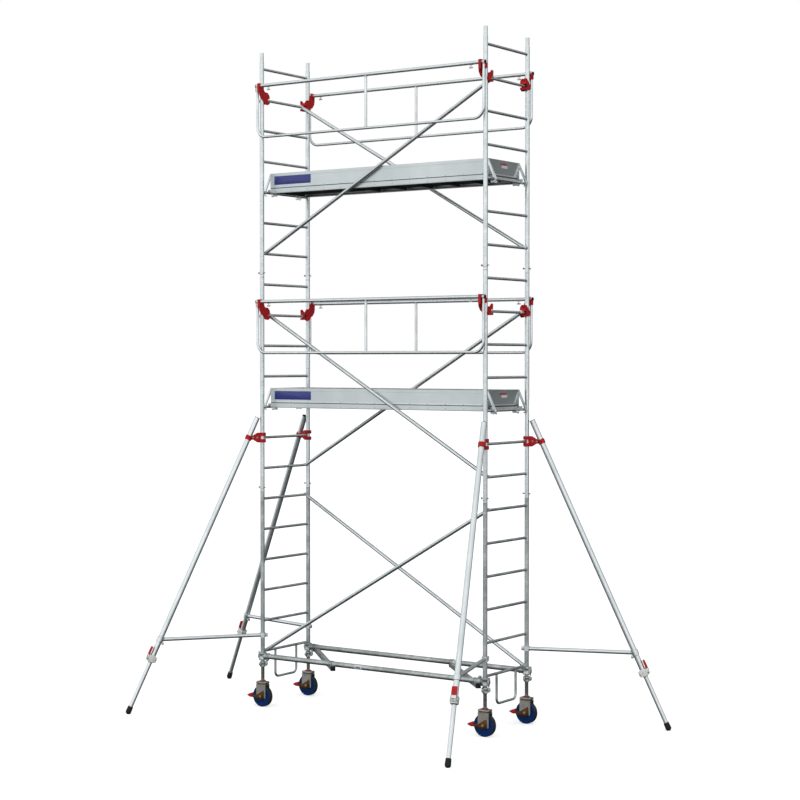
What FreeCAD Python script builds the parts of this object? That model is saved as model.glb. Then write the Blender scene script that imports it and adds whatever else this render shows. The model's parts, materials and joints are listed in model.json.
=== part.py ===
import FreeCAD, Part
import math
import os

# Mobile tower scaffold: three end-frame lifts, two platforms, four guardrails and four stabilisers.
# The model is laid out about the centre of the tower (X along the bay, Y across it, Z up from the
# floor). export_all moves it so that the origin is the bottom centre of the whole box.

Vec = FreeCAD.Vector
UP = Vec(0, 0, 1)

PAST = 99.0  # how far a cutting shape runs past what it cuts

# Bay and frames
BAY_LENGTH = 2450.0
BAY_WIDTH = 700.0
HALF_L = BAY_LENGTH / 2
HALF_W = BAY_WIDTH / 2
FRAME_HEIGHT = 2000.0
RUNGS_PER_FRAME = 7
RUNG_PITCH = FRAME_HEIGHT / RUNGS_PER_FRAME
FIRST_RUNG_Z = 520.0
STANDARD_R = 20.0
STANDARD_WALL = 2.0
RUNG_R = 12.5
RUNG_WALL = 1.5
SKIRT_BELOW_RUNG = 90.0
JOINT_ABOVE_RUNG = 66.0
SPIGOT_R = 17.5
SPIGOT_BORE_R = 15.5
SPIGOT_OUT = 82.0
SPIGOT_IN = 60.0
LIFTS = {"bottom": (0, 5), "middle": (6, 12), "top": (13, 19)}

# Locking pins of the frame joints
PIN_R = 4.0
PIN_HOLE_R = 4.3
PIN_ABOVE_JOINT = 41.0
PIN_HALF_LENGTH = 36.0
PIN_HEAD_R = 8.0
PIN_HEAD_LENGTH = 5.0

# Step stirrups under the bottom frames
STIRRUP_HALF_WIDTH = 160.0
STIRRUP_DROP = 265.0
STIRRUP_R = 11.0
STIRRUP_BEND = 45.0

# Adjustable legs and castors
NUT_Z = (398.0, 424.0)
NUT_R = 27.0
NUT_WING_REACH = 48.0
NUT_WING_THICKNESS = 9.0
NUT_WING_INSET = 4.0
SCREW_R = 17.3
SCREW_WALL = 4.0
SCREW_TOP_Z = 730.0
RUNNING_GAP = 0.05
CASTOR_PLATE = (114.0, 72.0)
CASTOR_PLATE_Z = (216.0, 236.0)
CASTOR_PLATE_CORNER_R = 12.0
CASTOR_PLATE_RIM_R = 5.0
SCREW_CONE_R = (36.0, 20.0)
SCREW_CONE_TOP_Z = 252.0
WHEEL_R = 100.0
AXLE_Z = WHEEL_R
AXLE_R = 6.0
AXLE_HALF_LENGTH = 44.0
AXLE_HEAD_R = 10.0
AXLE_HEAD_LENGTH = 9.0
FORK_HALF_X = 55.0
FORK_Y = (27.0, 31.0)
FORK_BOTTOM_Z = 80.0
FORK_CORNER_R = 12.0
CROWN_Z = (204.0, 213.0)
BEARING_R = 30.0
BEARING_TOP_Z = 215.7
HUB_R = 94.0
HUB_HALF_WIDTH = 24.0
HUB_BOSS_R = 22.0
HUB_BOSS_HALF_WIDTH = 26.0
HUB_RECESS = (30.0, 76.0)
HUB_RECESS_DEPTH = 5.0
TYRE_SEAT_R = 82.0
TYRE_SEAT_HALF_WIDTH = 20.0
TREAD_HALF_WIDTH = 23.0
TREAD_CHAMFER = 3.0
BRAKE_PLATE_Y = (31.5, 34.5)
BRAKE_PLATE_OUTLINE = [(-104, -16), (-104, 2), (-45, 12), (33, 59), (42, -17), (0, -38)]
PEDAL_OUTLINE = [(-104, -18), (-104, 14), (-118, 19), (-136, 15), (-164, 1), (-164, -6), (-128, -20)]
PEDAL_HALF_WIDTH = 34.5

# Base tubes and plan braces
BASE_TUBE_R = 24.0
BASE_TUBE_DROP = 45.0
BASE_COLLAR_R = 30.0
BASE_COLLAR_BORE_R = 20.3
BASE_COLLAR_DROP = (15.0, 78.0)
PLAN_BRACE_SIZE = 40.0
PLAN_BRACE_DROP = 74.5
PLAN_BRACE_WALL = 2.5
PLAN_BRACE_CROSSINGS = [-772.0, 783.0]
PLAN_BRACE_OVERRUN = (45.0, 95.0)
PLAN_BRACE_BOLT_HEAD = (9.0, 7.0)

# Diagonal braces: (Y side, rung at the left end, rung at the right end)
BRACES = [(-1, 0, 5), (1, 5, 0), (-1, 11, 6), (1, 6, 11), (-1, 13, 18), (1, 18, 13)]
HOOK_RUNGS = [11, 18]
BRACE_R = 16.5
BRACE_WALL = 1.5
BRACE_Y_PLAIN = 312.0
BRACE_Y_BESIDE_HOOK = 249.0
CLAW_R = 20.0
CLAW_BORE_R = 12.8
CLAW_HALF_WIDTH = 16.0
CLAW_MOUTH_DROP = 9.0

# Guardrails, measured from the rung that carries their hooks
RAIL_OUT = 50.0
RAIL_Y = HALF_W + RAIL_OUT
RAIL_R = 16.0
RAIL_WALL = 2.0
RAIL_UP = 122.0
RAIL_HALF_LENGTH = 1250.0
RAIL_CAP_LENGTH = 6.0
RAIL_DROP = 475.0
RAIL_POST_X = 1237.0
RAIL_POST_R = 12.5
RAIL_BEND = 95.0
TRIGGER_X = 1108.0
TRIGGER_SLOT = 8.0
TRIGGER_STEM = 5.0
TRIGGER_SIZE = (34.0, 8.0, 12.0)
TRIGGER_DROP = 30.0

# Guardrail hooks: outlines across (distance from the tower's centre plane, height above the rung)
HOOK_INNER_CHEEK = [
    (404, 143), (377, 143), (358, 118), (356, 96), (340, 72), (296, 68), (272, 44), (266, 14),
    (292, 14), (292, -14), (266, -14), (268, -30), (296, -46), (340, -40), (362, -8), (393, 6),
    (419, 40), (424, 85), (424, 143),
]
HOOK_OUTER_CHEEK = [
    (268, 34), (268, 62), (292, 66), (346, 20), (358, -12), (348, -32), (266, -32), (266, -15),
    (300, -15), (300, 15), (284, 15),
]
HOOK_CHEEK_THICKNESS = 6.0
HOOK_INNER_X = 1197.0
HOOK_OUTER_X = 1247.0
HOOK_PRONG_Y = (270.0, 327.0)
HOOK_PRONG_UPPER = (14.5, 40.0)
HOOK_PRONG_LOWER = (-34.0, -14.5)
HOOK_SHELL_X = (1197.0, 1222.0)
HOOK_SHELL_Y = (417.0, 424.0)
HOOK_SHELL_Z = (62.0, 144.0)
HOOK_TOP_Z = (139.0, 144.0)
HOOK_TOP_INNER_Y = 377.0
HOOK_TOOTH_OUTER_X = 1257.0
HOOK_TOOTH_Y = (371.5, 386.0)
HOOK_TOOTH_Z = (70.0, 113.0)
HOOK_TOOTH_PAD = (1251.0, 404.0)
HOOK_CLEARANCE = 0.5

# Platforms, measured from the rung that carries them
PLATFORM_RUNGS = {"lower": 8, "upper": 15}
PLATFORM_HALF_LENGTH = 1195.0
PLATFORM_HALF_WIDTH = 262.0
BEAM_TOP = 38.0
BEAM_WALL = 3.0
BEAM_FLANGE = 30.0
DECK_UNDER = 27.0
RIB_HALF_WIDTH = 15.0
END_BEAM_DEPTH = 30.0
HATCH_LENGTH = 620.0
HATCH_HALF_WIDTH = 225.0
HATCH_HINGE_X = {"lower": 450.0, "upper": -450.0}
HATCH_GAP = 2.0
HATCH_SETBACK = 6.0
HATCH_LEDGE = 15.0
HATCH_LEDGE_DEPTH = 10.0
HINGE_UP = 44.5
HINGE_R = 6.0
HINGE_PIN_R = 3.0
HINGE_LEAF = (40.0, 2.0)
HINGE_MIDDLE_HALF = 100.0
HINGE_END_LENGTH = 40.0
HINGE_END_GAP = 0.5
PLATFORM_HOOK_Y = (214.0, 232.0)
PLATFORM_HOOK_Z = (13.0, 30.0)
PLATFORM_HOOK_REACH = 1249.0
PLATFORM_HOOK_LIP = (1239.0, -9.0)
CATCH_OUTLINE = [(1204, -16), (1246, -16), (1238, -36), (1214, -30)]
CATCH_Y = (182.0, 188.0)
CATCH_STEM_X = (1175.0, 1210.0)
CATCH_STEM_DROP = 30.0
STAY_OUTLINE = [
    (1180, 176), (1198, 176), (1284, -4), (1276, -26), (1244, -34), (1240, -27), (1262, -14), (1254, 4),
    (1192, 134), (1180, 134),
]
STAY_Y = (256.0, 262.0)
TOE_TOP = 176.0
TOE_WALL = 3.0
TOE_LIP = (14.0, 4.0)
TOE_RIB = (6.0, 22.0)

# Stabilisers: direction of each, anticlockwise from +X, and the leg in its own upright plane
CORNERS = {
    "front_left": (-1, -1, -128.0),
    "back_left": (-1, 1, 167.0),
    "front_right": (1, -1, -71.6),
    "back_right": (1, 1, 20.0),
}
ARM_TOP = (48.0, 7 * RUNG_PITCH + 185.0)
FOOT_REACH = 1260.0
FOOT_R = 27.0
FOOT_CENTRE_Z = 24.0
FOOT_NECK_R = 22.0
FOOT_LENGTH = 72.0
FOOT_SOCKET_DEPTH = 57.0
STRUT_ABOVE_RUNG = 152.0
STRUT_R = 17.5
STRUT_WALL = 2.0
ARM_R = 25.0
ARM_WALL = 2.0
ARM_BEYOND_RING = 200.0
COLLAR_R = 28.0
COLLAR_HALF_HEIGHT = 21.0
RING_R = 31.5
RING_HALF_HEIGHT = 22.0
LEG_R = 19.2
LEG_WALL = 2.0
LEG_OVERLAP = 650.0
LOCK_BORE_R = 19.6
LOCK_LENGTH = (28.0, 20.0)
LOCK_ROOT = 8.0
LOCK_EAR = (10.0, 14.0, 46.0, 13.0)
LOCK_NUT_OUT = 46.0
LOCK_NUT_ALONG = (-30.0, 18.0)
LOCK_NUT_HALF_WIDTH = 13.0
LEVER_PIVOT_OUT = 39.0
LEVER_PIN_R = 4.0
LEVER_PIN_HALF_LENGTH = 27.0
LEVER_CHEEK_WIDTH = (18.0, 22.0)
LEVER_OUT = (-6.0, 11.0)
LEVER_PLATE_THICKNESS = 4.0
LEVER_PLATE_START = 17.0
LEVER_HEEL = 9.0
LEVER_ARM = 38.0
LEVER_GRIP = 80.0
LEVER_GRIP_OUT = (-5.0, 10.0)
LEVER_GRIP_HALF_WIDTH = 24.0
CLAMP_R = 33.0
CLAMP_Z = (14.5, 46.0)
CLAMP_WEB_HALF = 10.0
CLAMP_WEB_X = (48.0, 88.0)
CLAMP_WEB_END_Z = 20.0
CLAMP_STRAP_R = 32.0
CLAMP_STRAP_HALF = 21.0


def rung_z(number):
    return FIRST_RUNG_Z + number * RUNG_PITCH


def rod(start, end, radius):
    return Part.makeCylinder(radius, (end - start).Length, start, end - start)


def tube(start, end, radius, wall):
    return rod(start, end, radius).cut(rod(start, end, radius - wall))


def ring(start, end, radius, bore):
    return rod(start, end, radius).cut(rod(start, end, bore))


def block(x_range, y_range, z_range):
    low = Vec(min(x_range), min(y_range), min(z_range))
    return Part.makeBox(
        abs(x_range[1] - x_range[0]), abs(y_range[1] - y_range[0]), abs(z_range[1] - z_range[0]), low
    )


def slab(points, thickness):
    return Part.Face(Part.makePolygon(points + points[:1])).extrude(thickness)


def slab_xz(outline, y_range, base_z=0.0):
    points = [Vec(x, y_range[0], base_z + z) for x, z in outline]
    return slab(points, Vec(0, y_range[1] - y_range[0], 0))


def slab_yz(outline, x_start, thickness, base_z=0.0):
    points = [Vec(x_start, y, base_z + z) for y, z in outline]
    return slab(points, Vec(thickness, 0, 0))


def elbow(start, centre, radius, axis, degrees):
    profile = Part.Face(Part.Wire(Part.makeCircle(radius, start, UP)))
    return profile.revolve(centre, axis, degrees)


def fused(shapes):
    result = shapes[0].multiFuse(shapes[1:])
    return result.removeSplitter()


def mirrored(shape, x_side, y_side):
    if x_side < 0:
        shape = shape.mirror(Vec(0, 0, 0), Vec(1, 0, 0))
    if y_side < 0:
        shape = shape.mirror(Vec(0, 0, 0), Vec(0, 1, 0))
    return shape


# ------------------------------------------------------------------ end frames


def standard_section(x, y, low, high):
    body = tube(Vec(x, y, low), Vec(x, y, high), STANDARD_R, STANDARD_WALL)
    pin_z = low + PIN_ABOVE_JOINT
    hole = rod(Vec(x - HALF_L, y, pin_z), Vec(x + HALF_L, y, pin_z), PIN_HOLE_R)
    return body.cut(hole) if low > rung_z(0) else body


def spigot(x, y, joint_z, pinned):
    root = rod(Vec(x, y, joint_z - SPIGOT_IN), Vec(x, y, joint_z), STANDARD_R - STANDARD_WALL)
    nose = rod(Vec(x, y, joint_z), Vec(x, y, joint_z + SPIGOT_OUT), SPIGOT_R)
    bore = rod(Vec(x, y, joint_z - SPIGOT_IN), Vec(x, y, joint_z + SPIGOT_OUT), SPIGOT_BORE_R)
    body = root.fuse(nose).cut(bore)
    if not pinned:
        return body
    pin_z = joint_z + PIN_ABOVE_JOINT
    return body.cut(rod(Vec(x - STANDARD_R, y, pin_z), Vec(x + STANDARD_R, y, pin_z), PIN_HOLE_R))


def rung(x, number):
    z = rung_z(number)
    body = tube(Vec(x, -HALF_W, z), Vec(x, HALF_W, z), RUNG_R, RUNG_WALL)
    for y in (-HALF_W, HALF_W):
        reach = Vec(0, 0, RUNG_R + 1)
        body = body.cut(rod(Vec(x, y, z) - reach, Vec(x, y, z) + reach, STANDARD_R))
    return body


def stirrup(x):
    top = rung_z(0)
    low = top - STIRRUP_DROP
    pieces = []
    for side in (-1, 1):
        y = side * STIRRUP_HALF_WIDTH
        post = rod(Vec(x, y, low + STIRRUP_BEND), Vec(x, y, top), STIRRUP_R)
        pieces.append(post.cut(rod(Vec(x, -HALF_W, top), Vec(x, HALF_W, top), RUNG_R)).Solids[0])
        centre = Vec(x, y - side * STIRRUP_BEND, low + STIRRUP_BEND)
        pieces.append(elbow(Vec(x, y, low + STIRRUP_BEND), centre, STIRRUP_R, Vec(1, 0, 0), -side * 90))
    flat = STIRRUP_HALF_WIDTH - STIRRUP_BEND
    pieces.append(rod(Vec(x, -flat, low), Vec(x, flat, low), STIRRUP_R))
    return pieces


def end_frames(lift):
    first, last = LIFTS[lift]
    low = rung_z(first - 1) + JOINT_ABOVE_RUNG if first else rung_z(0) - SKIRT_BELOW_RUNG
    high = rung_z(last) + JOINT_ABOVE_RUNG
    pieces = []
    for x in (-HALF_L, HALF_L):
        for y in (-HALF_W, HALF_W):
            pieces.append(standard_section(x, y, low, high))
            pieces.append(spigot(x, y, high, lift != "top"))
        pieces += [rung(x, number) for number in range(first, last + 1)]
        if not first:
            pieces += stirrup(x)
    return pieces


def joint_pins():
    pieces = []
    for lift in ("bottom", "middle"):
        z = rung_z(LIFTS[lift][1]) + JOINT_ABOVE_RUNG + PIN_ABOVE_JOINT
        for x in (-HALF_L, HALF_L):
            for y in (-HALF_W, HALF_W):
                near = Vec(x - PIN_HALF_LENGTH, y, z)
                far = Vec(x + PIN_HALF_LENGTH, y, z)
                head = Vec(PIN_HEAD_LENGTH, 0, 0)
                pieces.append(fused([rod(near, far, PIN_R), rod(near - head, near, PIN_HEAD_R)]))
    return pieces


# ------------------------------------------------------------------ legs and castors, about their own axis


def jack_nut():
    low, high = NUT_Z
    body = rod(Vec(0, 0, low), Vec(0, 0, high), NUT_R)
    wings = []
    half = NUT_WING_THICKNESS / 2
    for index in range(3):
        wing = block((0, NUT_WING_REACH), (-half, half), (low + NUT_WING_INSET, high - NUT_WING_INSET))
        wing.rotate(Vec(0, 0, 0), UP, 30 + 120 * index)
        wings.append(wing)
    bore = rod(Vec(0, 0, low - 1), Vec(0, 0, high + 1), SCREW_R + RUNNING_GAP)
    return [fused([body] + wings).cut(bore)]


def leg_screw():
    half_x = CASTOR_PLATE[0] / 2
    half_y = CASTOR_PLATE[1] / 2
    plate = block((-half_x, half_x), (-half_y, half_y), CASTOR_PLATE_Z)
    corners = [edge for edge in plate.Edges if edge.BoundBox.ZLength > 1]
    plate = plate.makeFillet(CASTOR_PLATE_CORNER_R, corners)
    rim = [edge for edge in plate.Edges if edge.BoundBox.ZMin > CASTOR_PLATE_Z[1] - 0.1]
    plate = plate.makeFillet(CASTOR_PLATE_RIM_R, rim)
    cone_height = SCREW_CONE_TOP_Z - CASTOR_PLATE_Z[1]
    cone = Part.makeCone(SCREW_CONE_R[0], SCREW_CONE_R[1], cone_height, Vec(0, 0, CASTOR_PLATE_Z[1]))
    seat = Vec(0, 0, CASTOR_PLATE_Z[1])
    stem = tube(seat, Vec(0, 0, SCREW_TOP_Z), SCREW_R, SCREW_WALL)
    return [fused([plate, cone]).cut(rod(seat, Vec(0, 0, SCREW_TOP_Z), SCREW_R)), stem]


def castor_fork():
    crown = block((-FORK_HALF_X, FORK_HALF_X), (-FORK_Y[1], FORK_Y[1]), CROWN_Z)
    bearing = rod(Vec(0, 0, CROWN_Z[1]), Vec(0, 0, BEARING_TOP_Z), BEARING_R)
    pieces = [crown, bearing]
    for side in (-1, 1):
        cheek = block(
            (-FORK_HALF_X, FORK_HALF_X), (side * FORK_Y[0], side * FORK_Y[1]), (FORK_BOTTOM_Z, CROWN_Z[0])
        )
        lower = [e for e in cheek.Edges if e.BoundBox.YLength > 1 and e.BoundBox.ZMax < FORK_BOTTOM_Z + 1]
        cheek = cheek.makeFillet(FORK_CORNER_R, lower)
        pieces.append(cheek.cut(rod(Vec(0, -PAST, AXLE_Z), Vec(0, PAST, AXLE_Z), AXLE_R)))
    axle = rod(Vec(0, -AXLE_HALF_LENGTH, AXLE_Z), Vec(0, AXLE_HALF_LENGTH, AXLE_Z), AXLE_R)
    heads = []
    for side in (-1, 1):
        inner = Vec(0, side * (AXLE_HALF_LENGTH - AXLE_HEAD_LENGTH), AXLE_Z)
        heads.append(rod(inner, Vec(0, side * AXLE_HALF_LENGTH, AXLE_Z), AXLE_HEAD_R))
    pieces.append(fused([axle] + heads))
    return pieces


def wheel_ring(half_width, radius, bore):
    return ring(Vec(0, -half_width, AXLE_Z), Vec(0, half_width, AXLE_Z), radius, bore)


def wheel_hub():
    bore = AXLE_R + RUNNING_GAP
    disc = wheel_ring(HUB_HALF_WIDTH, HUB_R, bore)
    disc = disc.cut(wheel_ring(TYRE_SEAT_HALF_WIDTH, HUB_R + 1, TYRE_SEAT_R))
    for side in (-1, 1):
        outer = Vec(0, side * HUB_HALF_WIDTH, AXLE_Z)
        inner = Vec(0, side * (HUB_HALF_WIDTH - HUB_RECESS_DEPTH), AXLE_Z)
        disc = disc.cut(ring(inner, outer, HUB_RECESS[1], HUB_RECESS[0]))
    return [fused([disc, wheel_ring(HUB_BOSS_HALF_WIDTH, HUB_BOSS_R, bore)])]


def tyre():
    seat = wheel_ring(TYRE_SEAT_HALF_WIDTH, HUB_R + 1, TYRE_SEAT_R)
    tread = wheel_ring(TREAD_HALF_WIDTH, WHEEL_R, HUB_R + 0.3)
    rims = [e for e in tread.Edges if abs(e.Length - 2 * math.pi * WHEEL_R) < 0.1]
    return [fused([seat, tread.makeFillet(TREAD_CHAMFER, rims)])]


def brake_pedal():
    pieces = []
    for side in (-1, 1):
        y_range = (side * BRAKE_PLATE_Y[0], side * BRAKE_PLATE_Y[1])
        plate = slab_xz(BRAKE_PLATE_OUTLINE, y_range, AXLE_Z)
        hole = rod(Vec(0, -PAST, AXLE_Z), Vec(0, PAST, AXLE_Z), AXLE_R + RUNNING_GAP)
        pieces.append(plate.cut(hole))
    pieces.append(slab_xz(PEDAL_OUTLINE, (-PEDAL_HALF_WIDTH, PEDAL_HALF_WIDTH), AXLE_Z))
    return pieces


# ------------------------------------------------------------------ base


def base_tubes():
    z = rung_z(0) - BASE_TUBE_DROP
    collar_z = [rung_z(0) - drop for drop in BASE_COLLAR_DROP]
    pieces = []
    for y in (-HALF_W, HALF_W):
        long_tube = tube(Vec(-HALF_L, y, z), Vec(HALF_L, y, z), BASE_TUBE_R, STANDARD_WALL)
        for x in (-HALF_L, HALF_L):
            long_tube = long_tube.cut(rod(Vec(x, y, collar_z[1]), Vec(x, y, collar_z[0]), BASE_COLLAR_R))
            pieces.append(
                ring(Vec(x, y, collar_z[1]), Vec(x, y, collar_z[0]), BASE_COLLAR_R, BASE_COLLAR_BORE_R)
            )
        pieces.append(max(long_tube.Solids, key=lambda solid: solid.Volume))
    return pieces


def plan_braces():
    half = PLAN_BRACE_SIZE / 2
    inner = half - PLAN_BRACE_WALL
    tube_z = rung_z(0) - BASE_TUBE_DROP
    z = rung_z(0) - PLAN_BRACE_DROP
    pieces = []
    for crossing in PLAN_BRACE_CROSSINGS:
        diagonal = HALF_W * math.sqrt(2)
        length = (-diagonal - PLAN_BRACE_OVERRUN[0], diagonal + PLAN_BRACE_OVERRUN[1])
        outer = block(length, (-half, half), (z - half, z + half))
        core = block((length[0], length[1] - PLAN_BRACE_WALL), (-inner, inner), (z - inner, z + inner))
        brace = outer.cut(core)
        brace.rotate(Vec(0, 0, 0), UP, -45)
        brace.translate(Vec(crossing, 0, 0))
        for side in (-1, 1):
            foot = Vec(crossing - side * HALF_W, side * HALF_W, z - half)
            head = Vec(0, 0, -PLAN_BRACE_BOLT_HEAD[1])
            pieces.append(rod(foot, foot + head, PLAN_BRACE_BOLT_HEAD[0]))
            brace = brace.cut(rod(Vec(-HALF_L, foot.y, tube_z), Vec(HALF_L, foot.y, tube_z), BASE_TUBE_R))
        pieces += brace.Solids
    return pieces


# ------------------------------------------------------------------ diagonal braces


def brace_ends(side, left, right):
    ends = []
    for x, number in ((-HALF_L, left), (HALF_L, right)):
        y = BRACE_Y_BESIDE_HOOK if number in HOOK_RUNGS else BRACE_Y_PLAIN
        ends.append(Vec(x, side * y, rung_z(number)))
    return ends


def claw_cylinder(centre, radius):
    reach = Vec(0, CLAW_HALF_WIDTH, 0)
    return rod(centre - reach, centre + reach, radius)


def diagonal_braces():
    pieces = []
    for side, left, right in BRACES:
        start, end = brace_ends(side, left, right)
        body = tube(start, end, BRACE_R, BRACE_WALL)
        for centre in (start, end):
            reach = Vec(0, 2 * CLAW_HALF_WIDTH, 0)
            body = body.cut(rod(centre - reach, centre + reach, CLAW_R))
        pieces.append(max(body.Solids, key=lambda solid: solid.Volume))
    return pieces


def brace_claws():
    pieces = []
    for side, left, right in BRACES:
        for centre in brace_ends(side, left, right):
            shell = claw_cylinder(centre, CLAW_R).cut(claw_cylinder(centre, CLAW_BORE_R))
            mouth = block(
                (centre.x - CLAW_R, centre.x + CLAW_R),
                (centre.y - CLAW_HALF_WIDTH, centre.y + CLAW_HALF_WIDTH),
                (centre.z - CLAW_R, centre.z - CLAW_MOUTH_DROP),
            )
            pieces.append(shell.cut(mouth).Solids[0])
    return pieces


# ------------------------------------------------------------------ guardrails


def guardrail_places():
    return [(side, rung_z(number)) for number in HOOK_RUNGS for side in (-1, 1)]


def guardrails():
    pieces = []
    for side, hook_z in guardrail_places():
        y = side * RAIL_Y
        top = hook_z + RAIL_UP
        low = top - RAIL_DROP
        rail = tube(Vec(-RAIL_HALF_LENGTH, y, top), Vec(RAIL_HALF_LENGTH, y, top), RAIL_R, RAIL_WALL)
        half_slot = TRIGGER_SLOT / 2
        for x in (-TRIGGER_X, TRIGGER_X):
            slot = block(
                (x - half_slot, x + half_slot), (y - half_slot, y + half_slot), (top - RAIL_R - 1, top)
            )
            rail = rail.cut(slot)
        pieces.append(rail)
        trim = rod(Vec(-RAIL_HALF_LENGTH, y, top), Vec(RAIL_HALF_LENGTH, y, top), RAIL_R)
        for x in (-RAIL_POST_X, RAIL_POST_X):
            turn = 1 if x > 0 else -1
            bend = Vec(x, y, low + RAIL_BEND)
            post = tube(bend, Vec(x, y, top), RAIL_POST_R, RUNG_WALL)
            pieces.append(min(post.cut(trim).Solids, key=lambda solid: solid.CenterOfMass.z))
            centre = Vec(x - turn * RAIL_BEND, y, low + RAIL_BEND)
            pieces.append(elbow(bend, centre, RAIL_POST_R, Vec(0, 1, 0), turn * 90))
        flat = RAIL_POST_X - RAIL_BEND
        pieces.append(tube(Vec(-flat, y, low), Vec(flat, y, low), RAIL_POST_R, RUNG_WALL))
        lower_trim = rod(Vec(-flat, y, low), Vec(flat, y, low), RAIL_POST_R)
        middle = tube(Vec(0, y, low), Vec(0, y, top), RAIL_POST_R, RUNG_WALL).cut(lower_trim).cut(trim)
        pieces.append(max(middle.Solids, key=lambda solid: solid.Volume))
    return pieces


def guardrail_caps():
    pieces = []
    for side, hook_z in guardrail_places():
        for end in (-1, 1):
            inner = Vec(end * RAIL_HALF_LENGTH, side * RAIL_Y, hook_z + RAIL_UP)
            pieces.append(rod(inner, inner + Vec(end * RAIL_CAP_LENGTH, 0, 0), RAIL_R))
    return pieces


def guardrail_triggers():
    pieces = []
    length, width, height = TRIGGER_SIZE
    half_stem = TRIGGER_STEM / 2
    for side, hook_z in guardrail_places():
        for x in (-TRIGGER_X, TRIGGER_X):
            y = side * RAIL_Y
            low = hook_z + RAIL_UP - RAIL_R - TRIGGER_DROP
            along = (x - length / 2, x + length / 2)
            bar = block(along, (y - width / 2, y + width / 2), (low, low + height))
            stem = block(
                (x - half_stem, x + half_stem), (y - half_stem, y + half_stem),
                (low + height - 1, hook_z + RAIL_UP - RAIL_R + 8),
            )
            pieces.append(fused([bar, stem]))
    return pieces


def guardrail_hook(hook_z):
    outer_wall = block(HOOK_SHELL_X, HOOK_SHELL_Y, (hook_z + HOOK_SHELL_Z[0], hook_z + HOOK_SHELL_Z[1]))
    roof = block(
        HOOK_SHELL_X, (HOOK_TOP_INNER_Y, HOOK_SHELL_Y[1]), (hook_z + HOOK_TOP_Z[0], hook_z + HOOK_TOP_Z[1])
    )
    inner_cheek = slab_yz(HOOK_INNER_CHEEK, HOOK_INNER_X, HOOK_CHEEK_THICKNESS, hook_z)
    outer_cheek = slab_yz(HOOK_OUTER_CHEEK, HOOK_OUTER_X, HOOK_CHEEK_THICKNESS, hook_z)
    span = (HOOK_INNER_X, HOOK_OUTER_X + HOOK_CHEEK_THICKNESS)
    prongs = [
        block(span, HOOK_PRONG_Y, (hook_z + low, hook_z + high))
        for low, high in (HOOK_PRONG_UPPER, HOOK_PRONG_LOWER)
    ]
    tooth_z = (hook_z + HOOK_TOOTH_Z[0], hook_z + HOOK_TOOTH_Z[1])
    tooth = block((HOOK_INNER_X, HOOK_TOOTH_OUTER_X), HOOK_TOOTH_Y, tooth_z)
    pad = block((HOOK_TOOTH_PAD[0], HOOK_TOOTH_OUTER_X), (HOOK_TOOTH_Y[0], HOOK_TOOTH_PAD[1]), tooth_z)
    body = fused([inner_cheek, outer_wall, roof, outer_cheek, tooth, pad] + prongs)
    rail_z = hook_z + RAIL_UP
    far = HALF_L + 3 * STANDARD_R
    gap = HOOK_CLEARANCE
    body = body.cut(rod(Vec(TRIGGER_X, RAIL_Y, rail_z), Vec(far, RAIL_Y, rail_z), RAIL_R + gap))
    body = body.cut(
        rod(Vec(RAIL_POST_X, RAIL_Y, hook_z), Vec(RAIL_POST_X, RAIL_Y, rail_z), RAIL_POST_R + gap)
    )
    below = Vec(HALF_L, HALF_W, hook_z - PAST)
    above = Vec(HALF_L, HALF_W, rail_z + PAST)
    body = body.cut(rod(below, above, STANDARD_R + gap))
    return body.cut(rod(Vec(HALF_L, 0, hook_z), Vec(HALF_L, HALF_W, hook_z), RUNG_R + gap)).Solids


def guardrail_hooks():
    pieces = []
    for number in HOOK_RUNGS:
        for solid in guardrail_hook(rung_z(number)):
            pieces += [mirrored(solid, x_side, y_side) for x_side in (-1, 1) for y_side in (-1, 1)]
    return pieces


# ------------------------------------------------------------------ platforms


def hatch_box(level, z_range, shrink=0.0):
    hinge = HATCH_HINGE_X[level]
    away = 1 if hinge > 0 else -1
    near = hinge + away * (HATCH_SETBACK + shrink)
    far = hinge + away * (HATCH_LENGTH - shrink)
    half = HATCH_HALF_WIDTH - shrink
    return block((near, far), (-half, half), z_range)


def hinge_barrel(level, z, y_low, y_high, away):
    x = HATCH_HINGE_X[level]
    leaf_z = z + BEAM_TOP
    barrel = rod(Vec(x, y_low, z + HINGE_UP), Vec(x, y_high, z + HINGE_UP), HINGE_R)
    leaf = block((x, x + away * HINGE_LEAF[0]), (y_low, y_high), (leaf_z, leaf_z + HINGE_LEAF[1]))
    return fused([barrel, leaf])


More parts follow.
